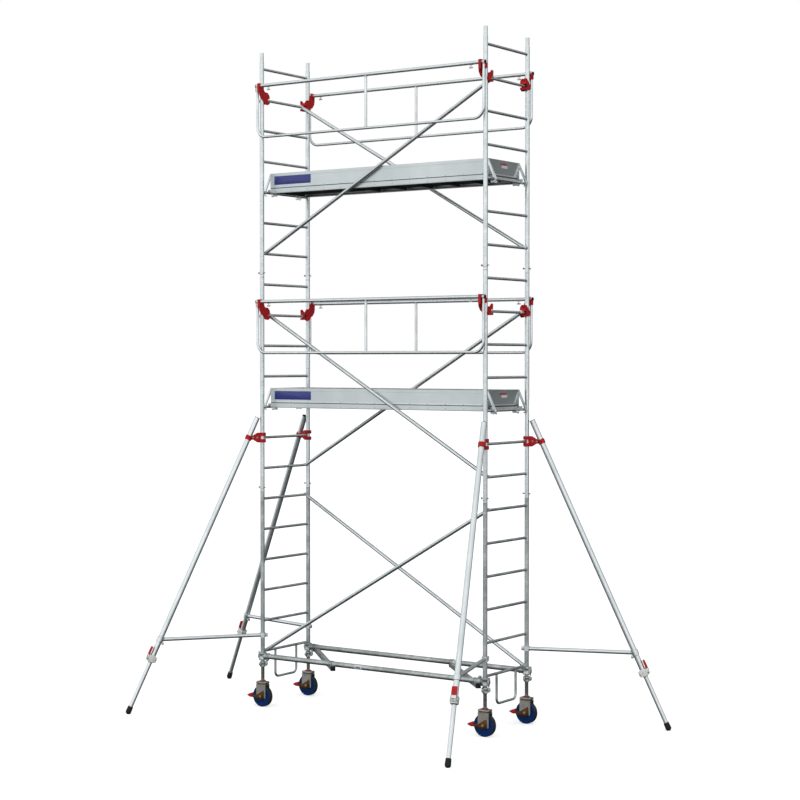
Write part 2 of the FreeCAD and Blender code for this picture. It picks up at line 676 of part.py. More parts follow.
def platform(level):
    z = rung_z(PLATFORM_RUNGS[level])
    hinge = HATCH_HINGE_X[level]
    away = 1 if hinge > 0 else -1
    pieces = []
    web = PLATFORM_HALF_WIDTH - BEAM_WALL
    channel = [
        (PLATFORM_HALF_WIDTH, 0), (PLATFORM_HALF_WIDTH, BEAM_TOP), (web, BEAM_TOP), (web, DECK_UNDER),
        (web - BEAM_FLANGE, DECK_UNDER), (web - BEAM_FLANGE, DECK_UNDER - BEAM_WALL),
        (web, DECK_UNDER - BEAM_WALL), (web, BEAM_WALL), (web - BEAM_FLANGE, BEAM_WALL),
        (web - BEAM_FLANGE, 0),
    ]
    for side in (-1, 1):
        outline = [(side * y, height) for y, height in channel]
        pieces.append(slab_yz(outline, -PLATFORM_HALF_LENGTH, 2 * PLATFORM_HALF_LENGTH, z))
    deck = block((-PLATFORM_HALF_LENGTH, PLATFORM_HALF_LENGTH), (-web, web), (z + DECK_UNDER, z + BEAM_TOP))
    pieces.append(deck.cut(hatch_box(level, (z + DECK_UNDER - 1, z + BEAM_TOP + 1))))
    under = (z + BEAM_WALL, z + DECK_UNDER - BEAM_WALL)
    inside = web - BEAM_FLANGE - 1
    end_x = PLATFORM_HALF_LENGTH - END_BEAM_DEPTH
    for end in (-1, 1):
        beam_x = (end * end_x, end * PLATFORM_HALF_LENGTH)
        pieces.append(block(beam_x, (-inside, inside), (z, z + DECK_UNDER)))
    ledge_z = (z + DECK_UNDER - HATCH_LEDGE_DEPTH, z + DECK_UNDER)
    hole = hatch_box(level, ledge_z, HATCH_LEDGE)
    frame = hatch_box(level, ledge_z, -1.0)
    pieces.append(frame.cut(hole))
    hatch = hatch_box(level, under, -2 * RIB_HALF_WIDTH).BoundBox
    rib_step = 2 * end_x / 8
    for index in range(1, 8):
        x = -end_x + index * rib_step
        if not hatch.XMin < x < hatch.XMax:
            pieces.append(block((x - RIB_HALF_WIDTH, x + RIB_HALF_WIDTH), (-inside, inside), under))
    for x_side in (-1, 1):
        for y_side in (-1, 1):
            arm = block(
                (PLATFORM_HALF_LENGTH, PLATFORM_HOOK_REACH), PLATFORM_HOOK_Y,
                (z + PLATFORM_HOOK_Z[0], z + PLATFORM_HOOK_Z[1]),
            )
            lip = block(
                (PLATFORM_HOOK_LIP[0], PLATFORM_HOOK_REACH), PLATFORM_HOOK_Y,
                (z + PLATFORM_HOOK_LIP[1], z + PLATFORM_HOOK_Z[0] + 1),
            )
            catch = slab_xz(CATCH_OUTLINE, CATCH_Y, z)
            stem = block(CATCH_STEM_X, CATCH_Y, (z - CATCH_STEM_DROP, z))
            pieces.append(mirrored(fused([arm, lip]), x_side, y_side))
            pieces.append(mirrored(fused([catch, stem]), x_side, y_side))
    outer_y = HINGE_MIDDLE_HALF + HINGE_END_GAP + HINGE_END_LENGTH
    pin = rod(Vec(hinge, -outer_y, z + HINGE_UP), Vec(hinge, outer_y, z + HINGE_UP), HINGE_PIN_R)
    knuckles = [pin]
    for side in (-1, 1):
        y_low, y_high = sorted((side * (HINGE_MIDDLE_HALF + HINGE_END_GAP), side * outer_y))
        knuckles.append(hinge_barrel(level, z, y_low, y_high, -away))
    pieces.append(fused(knuckles))
    return pieces


def platform_decks():
    return platform("lower") + platform("upper")


def trapdoor(level):
    z = rung_z(PLATFORM_RUNGS[level])
    hinge = HATCH_HINGE_X[level]
    away = 1 if hinge > 0 else -1
    door = hatch_box(level, (z + DECK_UNDER, z + BEAM_TOP), HATCH_GAP)
    barrel = hinge_barrel(level, z, -HINGE_MIDDLE_HALF, HINGE_MIDDLE_HALF, away)
    pin_reach = Vec(0, HINGE_MIDDLE_HALF + 1, 0)
    axis = Vec(hinge, 0, z + HINGE_UP)
    bore = rod(axis - pin_reach, axis + pin_reach, HINGE_PIN_R + RUNNING_GAP)
    return [fused([door, barrel]).cut(bore)]


def toe_boards():
    pieces = []
    lip_out, lip_down = TOE_LIP
    rib_out, rib_down = TOE_RIB
    for number in PLATFORM_RUNGS.values():
        z = rung_z(number)
        face = PLATFORM_HALF_WIDTH
        inner = face - TOE_WALL
        lip = [(inner - lip_out, TOE_TOP), (inner - lip_out, TOE_TOP - lip_down), (inner, TOE_TOP - lip_down)]
        outline = [(face, BEAM_TOP), (face, TOE_TOP)] + lip + [(inner, BEAM_TOP)]
        for side in (-1, 1):
            board = [(side * y, height) for y, height in outline]
            pieces.append(slab_yz(board, -PLATFORM_HALF_LENGTH, 2 * PLATFORM_HALF_LENGTH, z))
        end_face = PLATFORM_HALF_LENGTH
        for end in (-1, 1):
            wall = block(
                (end * (end_face - TOE_WALL), end * end_face), (-inner + lip_out, inner - lip_out),
                (z + BEAM_TOP, z + TOE_TOP - rib_down),
            )
            lip = block(
                (end * (end_face - rib_out), end * end_face), (-inner + lip_out, inner - lip_out),
                (z + TOE_TOP - rib_down, z + TOE_TOP),
            )
            pieces.append(fused([wall, lip]))
            for side in (-1, 1):
                stay = slab_xz(STAY_OUTLINE, STAY_Y, z)
                board_z = (z - PAST, z + TOE_TOP + PAST)
                stay = stay.cut(block((0, PLATFORM_HALF_LENGTH), (0, HALF_W), board_z))
                pieces += mirrored(stay, end, side).Solids
    return pieces


# ------------------------------------------------------------------ stabilisers, in their corner's XZ plane


def leg_line():
    top = Vec(ARM_TOP[0], 0, FIRST_RUNG_Z + ARM_TOP[1])
    foot = Vec(FOOT_REACH, 0, FOOT_CENTRE_Z)
    direction = (foot - top).normalize()
    return top, foot, direction


TOP, FOOT, DOWN_LEG = leg_line()
OUT_OF_LEG = Vec(-DOWN_LEG.z, 0, DOWN_LEG.x)
STRUT_Z = rung_z(0) + STRUT_ABOVE_RUNG
RING_CENTRE = TOP + DOWN_LEG * ((STRUT_Z - TOP.z) / DOWN_LEG.z)
ARM_END = RING_CENTRE + DOWN_LEG * ARM_BEYOND_RING
CLAMP_RUNG_Z = rung_z(7)
STRAP_CENTRE = TOP + DOWN_LEG * ((CLAMP_RUNG_Z - TOP.z) / DOWN_LEG.z)
LEVER_PIVOT = ARM_END + OUT_OF_LEG * LEVER_PIVOT_OUT
TANGENT = Vec(0, 1, 0)


def leg_block(centre, along, out, half_tangent):
    """A block set square to the leg: ranges along it and out of it, from centre."""
    points = [
        centre + DOWN_LEG * s + OUT_OF_LEG * n - TANGENT * half_tangent
        for s, n in ((along[0], out[0]), (along[1], out[0]), (along[1], out[1]), (along[0], out[1]))
    ]
    return slab(points, TANGENT * (2 * half_tangent))


def stabiliser_arm():
    upper = tube(TOP, ARM_END, ARM_R, ARM_WALL)
    low = Vec(0, 0, STRUT_Z - COLLAR_HALF_HEIGHT)
    high = Vec(0, 0, STRUT_Z + COLLAR_HALF_HEIGHT)
    collar = ring(low, high, COLLAR_R, STANDARD_R + RUNNING_GAP)
    half_ring = DOWN_LEG * RING_HALF_HEIGHT
    around_tube = ring(RING_CENTRE - half_ring, RING_CENTRE + half_ring, RING_R, ARM_R)
    strut = tube(Vec(0, 0, STRUT_Z), Vec(RING_CENTRE.x, 0, STRUT_Z), STRUT_R, STRUT_WALL)
    strut = strut.cut(rod(low, high, COLLAR_R))
    strut = strut.cut(rod(RING_CENTRE - half_ring * 2, RING_CENTRE + half_ring * 2, RING_R))
    strut = max(strut.Solids, key=lambda solid: solid.Volume)
    lock = rod(ARM_END - DOWN_LEG * LOCK_LENGTH[0], ARM_END + DOWN_LEG * LOCK_LENGTH[1], RING_R)
    lock = lock.cut(rod(ARM_END - DOWN_LEG * LOCK_LENGTH[0], ARM_END, ARM_R))
    lock = lock.cut(rod(ARM_END, ARM_END + DOWN_LEG * LOCK_LENGTH[1], LOCK_BORE_R))
    ear_in, ear_out, ear_reach, ear_half = LOCK_EAR
    ears = []
    reach = (RING_R - LOCK_ROOT, ear_reach)
    for side in (-1, 1):
        ear = leg_block(ARM_END, (-ear_half, ear_half), reach, (ear_out - ear_in) / 2)
        ear.translate(TANGENT * (side * (ear_in + ear_out) / 2))
        ears.append(ear)
    nut = leg_block(ARM_END, LOCK_NUT_ALONG, (-LOCK_NUT_OUT, LOCK_ROOT - RING_R), LOCK_NUT_HALF_WIDTH)
    pin_reach = TANGENT * LEVER_PIN_HALF_LENGTH
    pin = rod(LEVER_PIVOT - pin_reach, LEVER_PIVOT + pin_reach, LEVER_PIN_R)
    keep_out = rod(ARM_END - DOWN_LEG * PAST, ARM_END, ARM_R)
    keep_out = keep_out.fuse(rod(ARM_END, ARM_END + DOWN_LEG * PAST, LOCK_BORE_R))
    return [upper, collar, around_tube, strut, fused([lock, nut, pin] + ears).cut(keep_out)]


def stabiliser_clamp():
    pieces = []
    for side in (-1, 1):
        z_range = sorted(CLAMP_RUNG_Z + side * z for z in CLAMP_Z)
        pieces.append(rod(Vec(0, 0, z_range[0]), Vec(0, 0, z_range[1]), CLAMP_R))
    upper = [
        (0, CLAMP_Z[1]), (CLAMP_WEB_X[0], CLAMP_Z[1]), (CLAMP_WEB_X[1], CLAMP_WEB_END_Z),
        (STRAP_CENTRE.x, CLAMP_WEB_END_Z),
    ]
    outline = upper + [(x, -z) for x, z in reversed(upper)]
    web = slab_xz(outline, (-CLAMP_WEB_HALF, CLAMP_WEB_HALF), CLAMP_RUNG_Z)
    half = DOWN_LEG * CLAMP_STRAP_HALF
    strap = rod(STRAP_CENTRE - half, STRAP_CENTRE + half, CLAMP_STRAP_R)
    body = fused(pieces + [web, strap])
    body = body.cut(rod(STRAP_CENTRE - half * 4, STRAP_CENTRE + half * 4, ARM_R))
    reach = Vec(0, 0, 2 * CLAMP_Z[1])
    axis = Vec(0, 0, CLAMP_RUNG_Z)
    return [body.cut(rod(axis - reach, axis + reach, STANDARD_R + RUNNING_GAP))]


def stabiliser_leg():
    return [tube(ARM_END - DOWN_LEG * LEG_OVERLAP, FOOT - DOWN_LEG * (FOOT_LENGTH - FOOT_SOCKET_DEPTH),
                 LEG_R, LEG_WALL)]


def stabiliser_foot():
    neck = FOOT - DOWN_LEG * FOOT_LENGTH
    cone = Part.makeCone(FOOT_NECK_R, FOOT_R, FOOT_LENGTH, neck, DOWN_LEG)
    ball = Part.makeSphere(FOOT_R, FOOT)
    below = block((FOOT.x - PAST, FOOT.x + PAST), (-PAST, PAST), (-PAST, 0))
    socket = rod(neck - DOWN_LEG, neck + DOWN_LEG * FOOT_SOCKET_DEPTH, LEG_R)
    return [cone.fuse(ball).cut(below).cut(socket)]


def lock_lever():
    """A channel-shaped lever: two cheeks on the pin, joined by an outer plate, with a grip at the end."""
    low, high = LEVER_CHEEK_WIDTH
    plate_out = (LEVER_OUT[1] - LEVER_PLATE_THICKNESS, LEVER_OUT[1])
    parts = [leg_block(LEVER_PIVOT, (-LEVER_ARM, -LEVER_PLATE_START), plate_out, high)]
    for side in (-1, 1):
        cheek = leg_block(LEVER_PIVOT, (-LEVER_ARM, LEVER_HEEL), LEVER_OUT, (high - low) / 2)
        cheek.translate(TANGENT * (side * (low + high) / 2))
        parts.append(cheek)
    pin_reach = TANGENT * PAST
    hole = rod(LEVER_PIVOT - pin_reach, LEVER_PIVOT + pin_reach, LEVER_PIN_R + RUNNING_GAP)
    grip = leg_block(
        LEVER_PIVOT, (-LEVER_ARM - LEVER_GRIP, -LEVER_ARM), LEVER_GRIP_OUT, LEVER_GRIP_HALF_WIDTH
    )
    return [fused(parts).cut(hole), grip]


# ------------------------------------------------------------------ the whole tower


def at_corner(pieces, corner, turned):
    x_side, y_side, direction = CORNERS[corner]
    placed = []
    for piece in pieces:
        piece = piece.copy()
        if turned:
            piece.rotate(Vec(0, 0, 0), UP, direction)
        piece.translate(Vec(x_side * HALF_L, y_side * HALF_W, 0))
        placed.append(piece)
    return placed


def build():
    nodes = {
        "end_frames_bottom": end_frames("bottom"),
        "end_frames_middle": end_frames("middle"),
        "end_frames_top": end_frames("top"),
        "joint_pins": joint_pins(),
        "base_tubes": base_tubes(),
        "plan_braces": plan_braces(),
        "diagonal_braces": diagonal_braces(),
        "brace_claws": brace_claws(),
        "guardrails": guardrails(),
        "guardrail_hooks": guardrail_hooks(),
        "guardrail_caps": guardrail_caps(),
        "guardrail_triggers": guardrail_triggers(),
        "platform_decks": platform_decks(),
        "toe_boards": toe_boards(),
        "trapdoor_lower": trapdoor("lower"),
        "trapdoor_upper": trapdoor("upper"),
    }
    upright = {
        "jack_nut": jack_nut(), "leg_screw": leg_screw(), "castor_fork": castor_fork(),
        "wheel_hub": wheel_hub(), "tyre": tyre(), "brake_pedal": brake_pedal(),
    }
    turned = {
        "stabiliser_arm": stabiliser_arm(), "stabiliser_clamp": stabiliser_clamp(),
        "stabiliser_leg": stabiliser_leg(), "stabiliser_foot": stabiliser_foot(),
        "lock_lever": lock_lever(),
    }
    for corner in CORNERS:
        for name, pieces in upright.items():
            nodes[f"{name}_{corner}"] = at_corner(pieces, corner, False)
        for name, pieces in turned.items():
            nodes[f"{name}_{corner}"] = at_corner(pieces, corner, True)
    return nodes


def centre_offset(nodes):
    """From the tower's centre to the middle of the whole box, in plan."""
    whole = Part.makeCompound([piece for pieces in nodes.values() for piece in pieces])
    centre = whole.optimalBoundingBox(False, False).Center
    return Vec(-round(centre.x, 2), -round(centre.y, 2), 0)


def export_all(nodes):
    os.makedirs("parts", exist_ok=True)
    offset = centre_offset(nodes)
    for name, pieces in nodes.items():
        compound = Part.makeCompound(pieces)
        compound.translate(offset)
        compound.exportStep(f"parts/{name}.step")
    return offset


NODES = build()
OFFSET = export_all(NODES)
print("nodes", len(NODES), "offset", OFFSET)
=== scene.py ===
"""The looks of a mobile tower scaffold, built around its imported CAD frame, in metres."""

import json
import math

import bmesh
import bpy
from mathutils import Matrix, Vector


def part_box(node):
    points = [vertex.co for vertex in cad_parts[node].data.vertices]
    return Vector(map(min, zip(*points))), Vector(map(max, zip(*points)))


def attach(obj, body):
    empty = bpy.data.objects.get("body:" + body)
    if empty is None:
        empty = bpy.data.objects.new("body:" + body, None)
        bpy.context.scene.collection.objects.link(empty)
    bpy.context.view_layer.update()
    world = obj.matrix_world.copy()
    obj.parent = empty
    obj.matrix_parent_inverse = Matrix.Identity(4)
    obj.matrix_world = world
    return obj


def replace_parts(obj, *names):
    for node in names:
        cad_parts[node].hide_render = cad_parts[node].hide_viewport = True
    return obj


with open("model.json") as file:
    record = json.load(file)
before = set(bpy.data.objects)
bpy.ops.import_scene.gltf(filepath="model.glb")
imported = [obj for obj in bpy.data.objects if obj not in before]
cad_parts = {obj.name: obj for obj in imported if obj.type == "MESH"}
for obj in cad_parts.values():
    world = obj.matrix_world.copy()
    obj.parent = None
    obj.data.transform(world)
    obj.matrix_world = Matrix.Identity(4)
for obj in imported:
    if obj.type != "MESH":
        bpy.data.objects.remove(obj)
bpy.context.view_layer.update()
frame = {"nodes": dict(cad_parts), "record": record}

# ---- driving dimensions

RUNG_PITCH = 2 / 7
RUNG_COUNT = 20
STANDARD_R = 0.02
BASE_TUBE_R = 0.024
BASE_TUBE_DROP = 0.045
PLAN_BRACE_CROSSINGS = (-0.772, 0.783)
RUNG_R = 0.0125
JOINT_ABOVE_RUNG = 0.066
SPIGOT_OUT = 0.082
PIN_ABOVE_JOINT = 0.041
LIFTS = {"bottom": range(0, 6), "middle": range(6, 13), "top": range(13, 20)}

RAIL_OUT = 0.05
RAIL_UP = 0.122
RAIL_R = 0.016
RAIL_DROP = 0.475
RAIL_POST_R = 0.0125
RAIL_POST_X = 1.237
RAIL_END_X = 1.25
TRIGGER_X = 1.108
HOOK_RUNGS = (11, 18)

PLATFORM_RUNGS = {"lower": 8, "upper": 15}
DECK_HALF_L = 1.195
DECK_HALF_W = 0.262
BEAM_TOP = 0.038
DECK_UNDER = 0.027
TOE_TOP = 0.176
HATCH_HINGE_X = {"lower": 0.45, "upper": -0.45}
HATCH_LENGTH = 0.62

AXLE_Z = 0.1
CASTOR_PLATE_TOP = 0.236
SCREW_R = 0.0173
THREAD_PITCH = 0.008

# Side along the bay, side across it, and the direction of the stabiliser, anticlockwise from +X
CORNERS = {
    "front_left": (-1, -1, -128),
    "back_left": (-1, 1, 167),
    "front_right": (1, -1, -71.6),
    "back_right": (1, 1, 20),
}
SIDES = (-1, 1)
STANDARDS = [(x_side, y_side) for x_side in SIDES for y_side in SIDES]

tower_low, tower_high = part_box("end_frames_top")
CENTRE = (tower_low + tower_high) / 2
HALF_L = (tower_high.x - tower_low.x) / 2 - STANDARD_R
HALF_W = (tower_high.y - tower_low.y) / 2 - STANDARD_R
RUNG_0 = tower_high.z - SPIGOT_OUT - JOINT_ABOVE_RUNG - (RUNG_COUNT - 1) * RUNG_PITCH
RAIL_Y = HALF_W + RAIL_OUT
STRAP_RUNG = 7

X_AXIS, Y_AXIS, Z_AXIS = Vector((1, 0, 0)), Vector((0, 1, 0)), Vector((0, 0, 1))


def rung_z(number):
    return RUNG_0 + number * RUNG_PITCH


JOINTS = [rung_z(LIFTS[lift][-1]) + JOINT_ABOVE_RUNG for lift in ("bottom", "middle")]
PLATFORM_LEVELS = [rung_z(number) for number in PLATFORM_RUNGS.values()]


def at(x, y, z):
    """A point given about the centre line of the tower, with z from the floor."""
    return Vector((CENTRE.x + x, CENTRE.y + y, z))


def mm(*points):
    """A profile or outline, given in millimetres, in metres."""
    return [(x / 1000, y / 1000) for x, y in points]


def move(x, y, z):
    return Matrix.Translation((x, y, z))


def axes(origin, z_axis, x_axis):
    """A frame at origin with the given Z axis, and X as near to x_axis as it can be."""
    z = z_axis.normalized()
    x = (x_axis - z * x_axis.dot(z)).normalized()
    frame_matrix = Matrix((x, z.cross(x), z)).transposed().to_4x4()
    frame_matrix.translation = origin
    return frame_matrix


def across(x, y, z, side):
    """A frame that faces along Y on the given side, with X along the bay. At side -1, its Y is up."""
    return axes(Vector((x, y, z)), Y_AXIS * side, X_AXIS)


def along(point, side):
    """A frame that faces along the bay on the given side, with its X across the bay and its Y up."""
    return axes(point, X_AXIS * side, Y_AXIS * side)


def corner_place(corner, turned=False):
    """The frame of a standard's foot; turned, its X axis points along the stabiliser."""
    x_side, y_side, direction = CORNERS[corner]
    place = Matrix.Translation(at(x_side * HALF_L, y_side * HALF_W, 0))
    return place @ spin(direction) if turned else place


def spin(degrees):
    return Matrix.Rotation(math.radians(degrees), 4, "Z")


# ---- materials


class Graph:
    """A node tree, with short ways to add nodes and to join them."""

    def __init__(self, tree):
        self.tree = tree

    def feed(self, socket, value):
        """Links the socket from another one, or gives it a plain value."""
        if isinstance(value, bpy.types.NodeSocket):
            self.tree.links.new(value, socket)
        else:
            socket.default_value = value

    def node(self, kind, inputs, **settings):
        made = self.tree.nodes.new("ShaderNode" + kind)
        for name, value in settings.items():
            setattr(made, name, value)
        for socket, value in inputs.items():
            self.feed(made.inputs[socket], value)
        return made

    def ramp(self, factor, stops):
        ramp = self.node("ValToRGB", {"Fac": factor})
        elements = ramp.color_ramp.elements
        while len(elements) < len(stops):
            elements.new(0.5)
        for element, (position, colour) in zip(elements, stops):
            element.position = position
            element.color = (*colour, 1)
        return ramp.outputs["Color"]

    def mix(self, factor, first, second, blend="MIX"):
        """first and second are sockets or colours; factor is a socket or a number."""
        colours = [(*value, 1) if isinstance(value, tuple) else value for value in (first, second)]
        inputs = {0: factor, 6: colours[0], 7: colours[1]}
        return self.node("Mix", inputs, data_type="RGBA", blend_type=blend).outputs[2]


class Finish(Graph):
    """A Principled material with procedural detail laid out in the object's own coordinates."""

    def __init__(self, name, colour, metallic, roughness):
        self.material = bpy.data.materials.new(name)
        self.material.use_nodes = True
        self.material.diffuse_color = (*colour, 1)
        super().__init__(self.material.node_tree)
        self.inputs = self.tree.nodes["Principled BSDF"].inputs
        self.inputs["Base Color"].default_value = (*colour, 1)
        self.inputs["Metallic"].default_value = metallic
        self.inputs["Roughness"].default_value = roughness
        self.place = self.node("TexCoord", {}).outputs["Object"]

    def stretched(self, scale):
        return self.node("Mapping", {"Vector": self.place, "Scale": scale}).outputs["Vector"]

    def noise(self, scale, detail, vector=None, distortion=0):
        inputs = {"Scale": scale, "Detail": detail, "Distortion": distortion}
        inputs["Vector"] = vector or self.place
        return self.node("TexNoise", inputs).outputs["Fac"]

    def cells(self, scale, feature="F1", output="Color"):
        inputs = {"Vector": self.place, "Scale": scale}
        return self.node("TexVoronoi", inputs, feature=feature).outputs[output]

    def grey(self, factor, low, high, start=0, end=1):
        return self.ramp(factor, [(start, (low,) * 3), (end, (high,) * 3)])

    def mottle(self, scale, detail, low, high, start, end, distortion=0):
        """Noise spread from low to high, where it lies between start and end."""
        return self.grey(self.noise(scale, detail, distortion=distortion), low, high, start, end)

    def done(self, colour, roughness, height, distance, strength):
        """The material, with its last sockets fed. A height may be a noise's scale."""
        if isinstance(height, int):
            height = self.noise(height, 2)
        self.feed(self.inputs["Base Color"], colour)
        self.feed(self.inputs["Roughness"], roughness)
        bump = self.node("Bump", {"Height": height, "Distance": distance, "Strength": strength})
        self.feed(self.inputs["Normal"], bump.outputs["Normal"])
        return self.material


def galvanised(name, bright, dull, roughness, crystal, patch=(0.32, 0.62), metallic=0.9):
    """Hot-dip zinc: crystals of slightly different grey, cloudy dull patches, and fine pitting."""
    finish = Finish(name, bright, metallic, roughness[0])
    middle = tuple((a + b) / 2 for a, b in zip(bright, dull))
    stops = [(0.15, middle), (0.5, bright), (0.85, middle)]
    crystals = finish.ramp(finish.cells(1 / crystal), stops)
    worn = finish.mottle(7, 5, 1, 0, *patch, distortion=0.6)
    runs = finish.mottle(60, 2, 0.86, 1, 0.35, 0.6)
    colour = finish.mix(0.7, finish.mix(worn, crystals, dull), runs, "MULTIPLY")
    return finish.done(colour, finish.mottle(35, 4, *roughness, 0.3, 0.7), 300, 0.0001, 0.35)


def drawn_tube(name, bright, dull):
    """Smooth zinc on drawn tube: near white, softly clouded, with light handling marks."""
    finish = Finish(name, bright, 0.88, 0.3)
    clouds = finish.noise(5, 4)
    scuffs = finish.mottle(90, 6, 0, 0.5, 0.58, 0.72, distortion=1.2)
    base = finish.mix(finish.grey(clouds, 0, 0.6, 0.35, 0.7), bright, dull)
    colour = finish.mix(scuffs, base, dull)
    return finish.done(colour, finish.grey(clouds, 0.26, 0.4, 0.3, 0.7), 220, 0.00008, 0.3)


def plated(name, bright, dull, low, metallic=0.95):
    """Electroplated or passivated sheet metal, cloudy, with tiny scratches."""
    finish = Finish(name, bright, metallic, low)
    clouds = finish.noise(28, 4, distortion=0.4)
    streaks = finish.noise(180, 5, finish.stretched((1, 1, 0.15)))
    scratches = finish.grey(streaks, 0, 0.45, 0.6, 0.75)
    colour = finish.mix(scratches, finish.mix(clouds, bright, dull), dull)
    return finish.done(colour, finish.grey(clouds, low, low + 0.16, 0.3, 0.7), 600, 0.00015, 0.4)


def moulded(name, colour, dark, low, specular=0.28):
    """Injection-moulded nylon: even colour, faint flow marks, fine eroded texture."""
    finish = Finish(name, colour, 0, low)
    flow = finish.mottle(24, 3, 0, 0.55, 0.35, 0.7, distortion=1)
    roughness = finish.mottle(70, 4, low, low + 0.18, 0.35, 0.7)
    finish.inputs["Specular IOR Level"].default_value = specular
    return finish.done(finish.mix(flow, colour, dark), roughness, 500, 0.0002, 0.45)


def rubber(name, colour, dusty):
    """Solid rubber: nearly black, matt, with dust in its fine grain."""
    finish = Finish(name, colour, 0, 0.8)
    dust = finish.mottle(40, 6, 0, 0.6, 0.5, 0.75)
    roughness = finish.mottle(110, 3, 0.66, 0.9, 0.3, 0.7)
    return finish.done(finish.mix(dust, colour, dusty), roughness, 800, 0.0003, 0.6)


def rolled_aluminium(name, bright, dull):
    """Mill-finish sheet: fine rolling lines along the bay and soft clouds."""
    finish = Finish(name, bright, 0.75, 0.42)
    lines = finish.noise(240, 3, finish.stretched((0.02, 1, 1)))
    base = finish.mix(finish.mottle(3.5, 4, 0, 0.7, 0.3, 0.7), bright, dull)
    colour = finish.mix(0.5, base, finish.grey(lines, 0.82, 1, 0.35, 0.65), "MULTIPLY")
    return finish.done(colour, finish.grey(lines, 0.36, 0.52, 0.3, 0.7), lines, 0.0002, 0.3)


def film_faced_plywood(name, colour, light):
    """Phenolic film pressed with a fine wire mesh on plywood, worn paler where people step."""
    finish = Finish(name, colour, 0, 0.45)
    wires = finish.grey(finish.cells(150, "DISTANCE_TO_EDGE", "Distance"), 1, 0, 0.02, 0.12)
    wear = finish.mottle(4, 5, 0, 0.5, 0.48, 0.72, distortion=0.5)
    veneer = finish.noise(30, 4, finish.stretched((0.12, 1, 1)))
    base = finish.mix(wear, finish.mix(veneer, colour, light), light)
    pressed = finish.mix(0.35, base, finish.grey(wires, 0.7, 1), "MULTIPLY")
    return finish.done(pressed, finish.grey(wires, 0.38, 0.6), wires, 0.0004, 0.7)


def printed_plate(name, colour, dark):
    """A glossy enamelled plate or sticker with slight orange peel."""
    finish = Finish(name, colour, 0, 0.25)
    faded = finish.mix(finish.mottle(18, 3, 0, 0.3, 0.4, 0.7), colour, dark)
    finish.inputs["Coat Weight"].default_value = 0.3
    return finish.done(faded, finish.mottle(60, 3, 0.3, 0.4, 0.3, 0.7), 160, 0.00004, 0.3)


# The record's material slots come first, then the finishes that only this script's pieces have
RECIPES = {
    "galvanised_steel": (galvanised, (0.8, 0.83, 0.83), (0.65, 0.69, 0.69), (0.24, 0.36), 0.011),
    "galvanised_old": (
        galvanised, (0.7, 0.73, 0.72), (0.38, 0.41, 0.4), (0.34, 0.52), 0.014, (0.36, 0.66)
    ),
    "bright_tube": (drawn_tube, (0.82, 0.85, 0.85), (0.64, 0.68, 0.68)),
    "zinc_plate": (plated, (0.5, 0.49, 0.44), (0.21, 0.19, 0.165), 0.26),
    "steel_screw": (plated, (0.26, 0.26, 0.24), (0.12, 0.12, 0.11), 0.42),
    "hook_red": (moulded, (0.6, 0.006, 0.01), (0.32, 0.002, 0.004), 0.44),
    "brake_brass": (plated, (0.17, 0.078, 0.022), (0.065, 0.026, 0.008), 0.34),
    "lever_red": (moulded, (0.58, 0.016, 0.02), (0.36, 0.006, 0.01), 0.34),
    "wheel_blue": (moulded, (0.0008, 0.036, 0.17), (0.0004, 0.018, 0.09), 0.5, 0.12),
    "tyre_black": (rubber, (0.012, 0.012, 0.014), (0.055, 0.055, 0.058)),
    "rubber_black": (rubber, (0.008, 0.008, 0.009), (0.035, 0.035, 0.036)),
    "cap_black": (moulded, (0.005, 0.005, 0.005), (0.012, 0.012, 0.012), 0.55),
    "toe_aluminium": (rolled_aluminium, (0.76, 0.8, 0.8), (0.6, 0.65, 0.66)),
    "deck_frame": (film_faced_plywood, (0.045, 0.032, 0.024), (0.11, 0.08, 0.055)),
    "hatch_panel": (film_faced_plywood, (0.05, 0.034, 0.024), (0.12, 0.085, 0.058)),
    "plate_blue": (printed_plate, (0.022, 0.032, 0.26), (0.015, 0.023, 0.2)),
    "label_white": (printed_plate, (0.78, 0.79, 0.8), (0.66, 0.67, 0.68)),
    "label_red": (printed_plate, (0.5, 0.012, 0.02), (0.38, 0.01, 0.014)),
    "lock_white": (plated, (0.9, 0.89, 0.84), (0.76, 0.75, 0.69), 0.5, 0.2),
    # A darker, duller copy of toe_aluminium: painted shade on the end boards' faces.
    "end_board": (rolled_aluminium, (0.44, 0.47, 0.47), (0.32, 0.35, 0.35)),
    "label_grey": (printed_plate, (0.2, 0.21, 0.24), (0.14, 0.15, 0.18)),
    "cover_red": (plated, (0.36, 0.07, 0.06), (0.16, 0.035, 0.03), 0.3, 0.4),
    # Near-black steel that stands for shade: painted shade under the decks, in gaps and in holes.
    "underside_steel": (
        galvanised, (0.1, 0.105, 0.1), (0.05, 0.052, 0.05), (0.5, 0.7), 0.014, (0.32, 0.62), 0.6
    ),
}
FINISHES = {name: make(name, *values) for name, (make, *values) in RECIPES.items()}

SMOOTH_BELOW = math.radians(38)
BEVEL_ABOVE = math.radians(50)


def dress_cad_nodes():
    """Every CAD node keeps its shape and takes the finish of its slot, with smooth curved faces."""
    for row in frame["record"]["subparts"]:
        mesh = frame["nodes"][row["node"]].data
        mesh.materials.clear()
        mesh.materials.append(FINISHES[row["material_slot"]])
        mesh.shade_smooth()
        mesh.set_sharp_from_angle(angle=SMOOTH_BELOW)


def is_plywood(face, low):
    """The deck board is what lies above the ribs and inside the channels' webs."""
    inside = abs(face.center.y - CENTRE.y) < DECK_HALF_W - 0.0025
    return inside and low + DECK_UNDER - 0.001 < face.center.z < low + BEAM_TOP + 0.0005


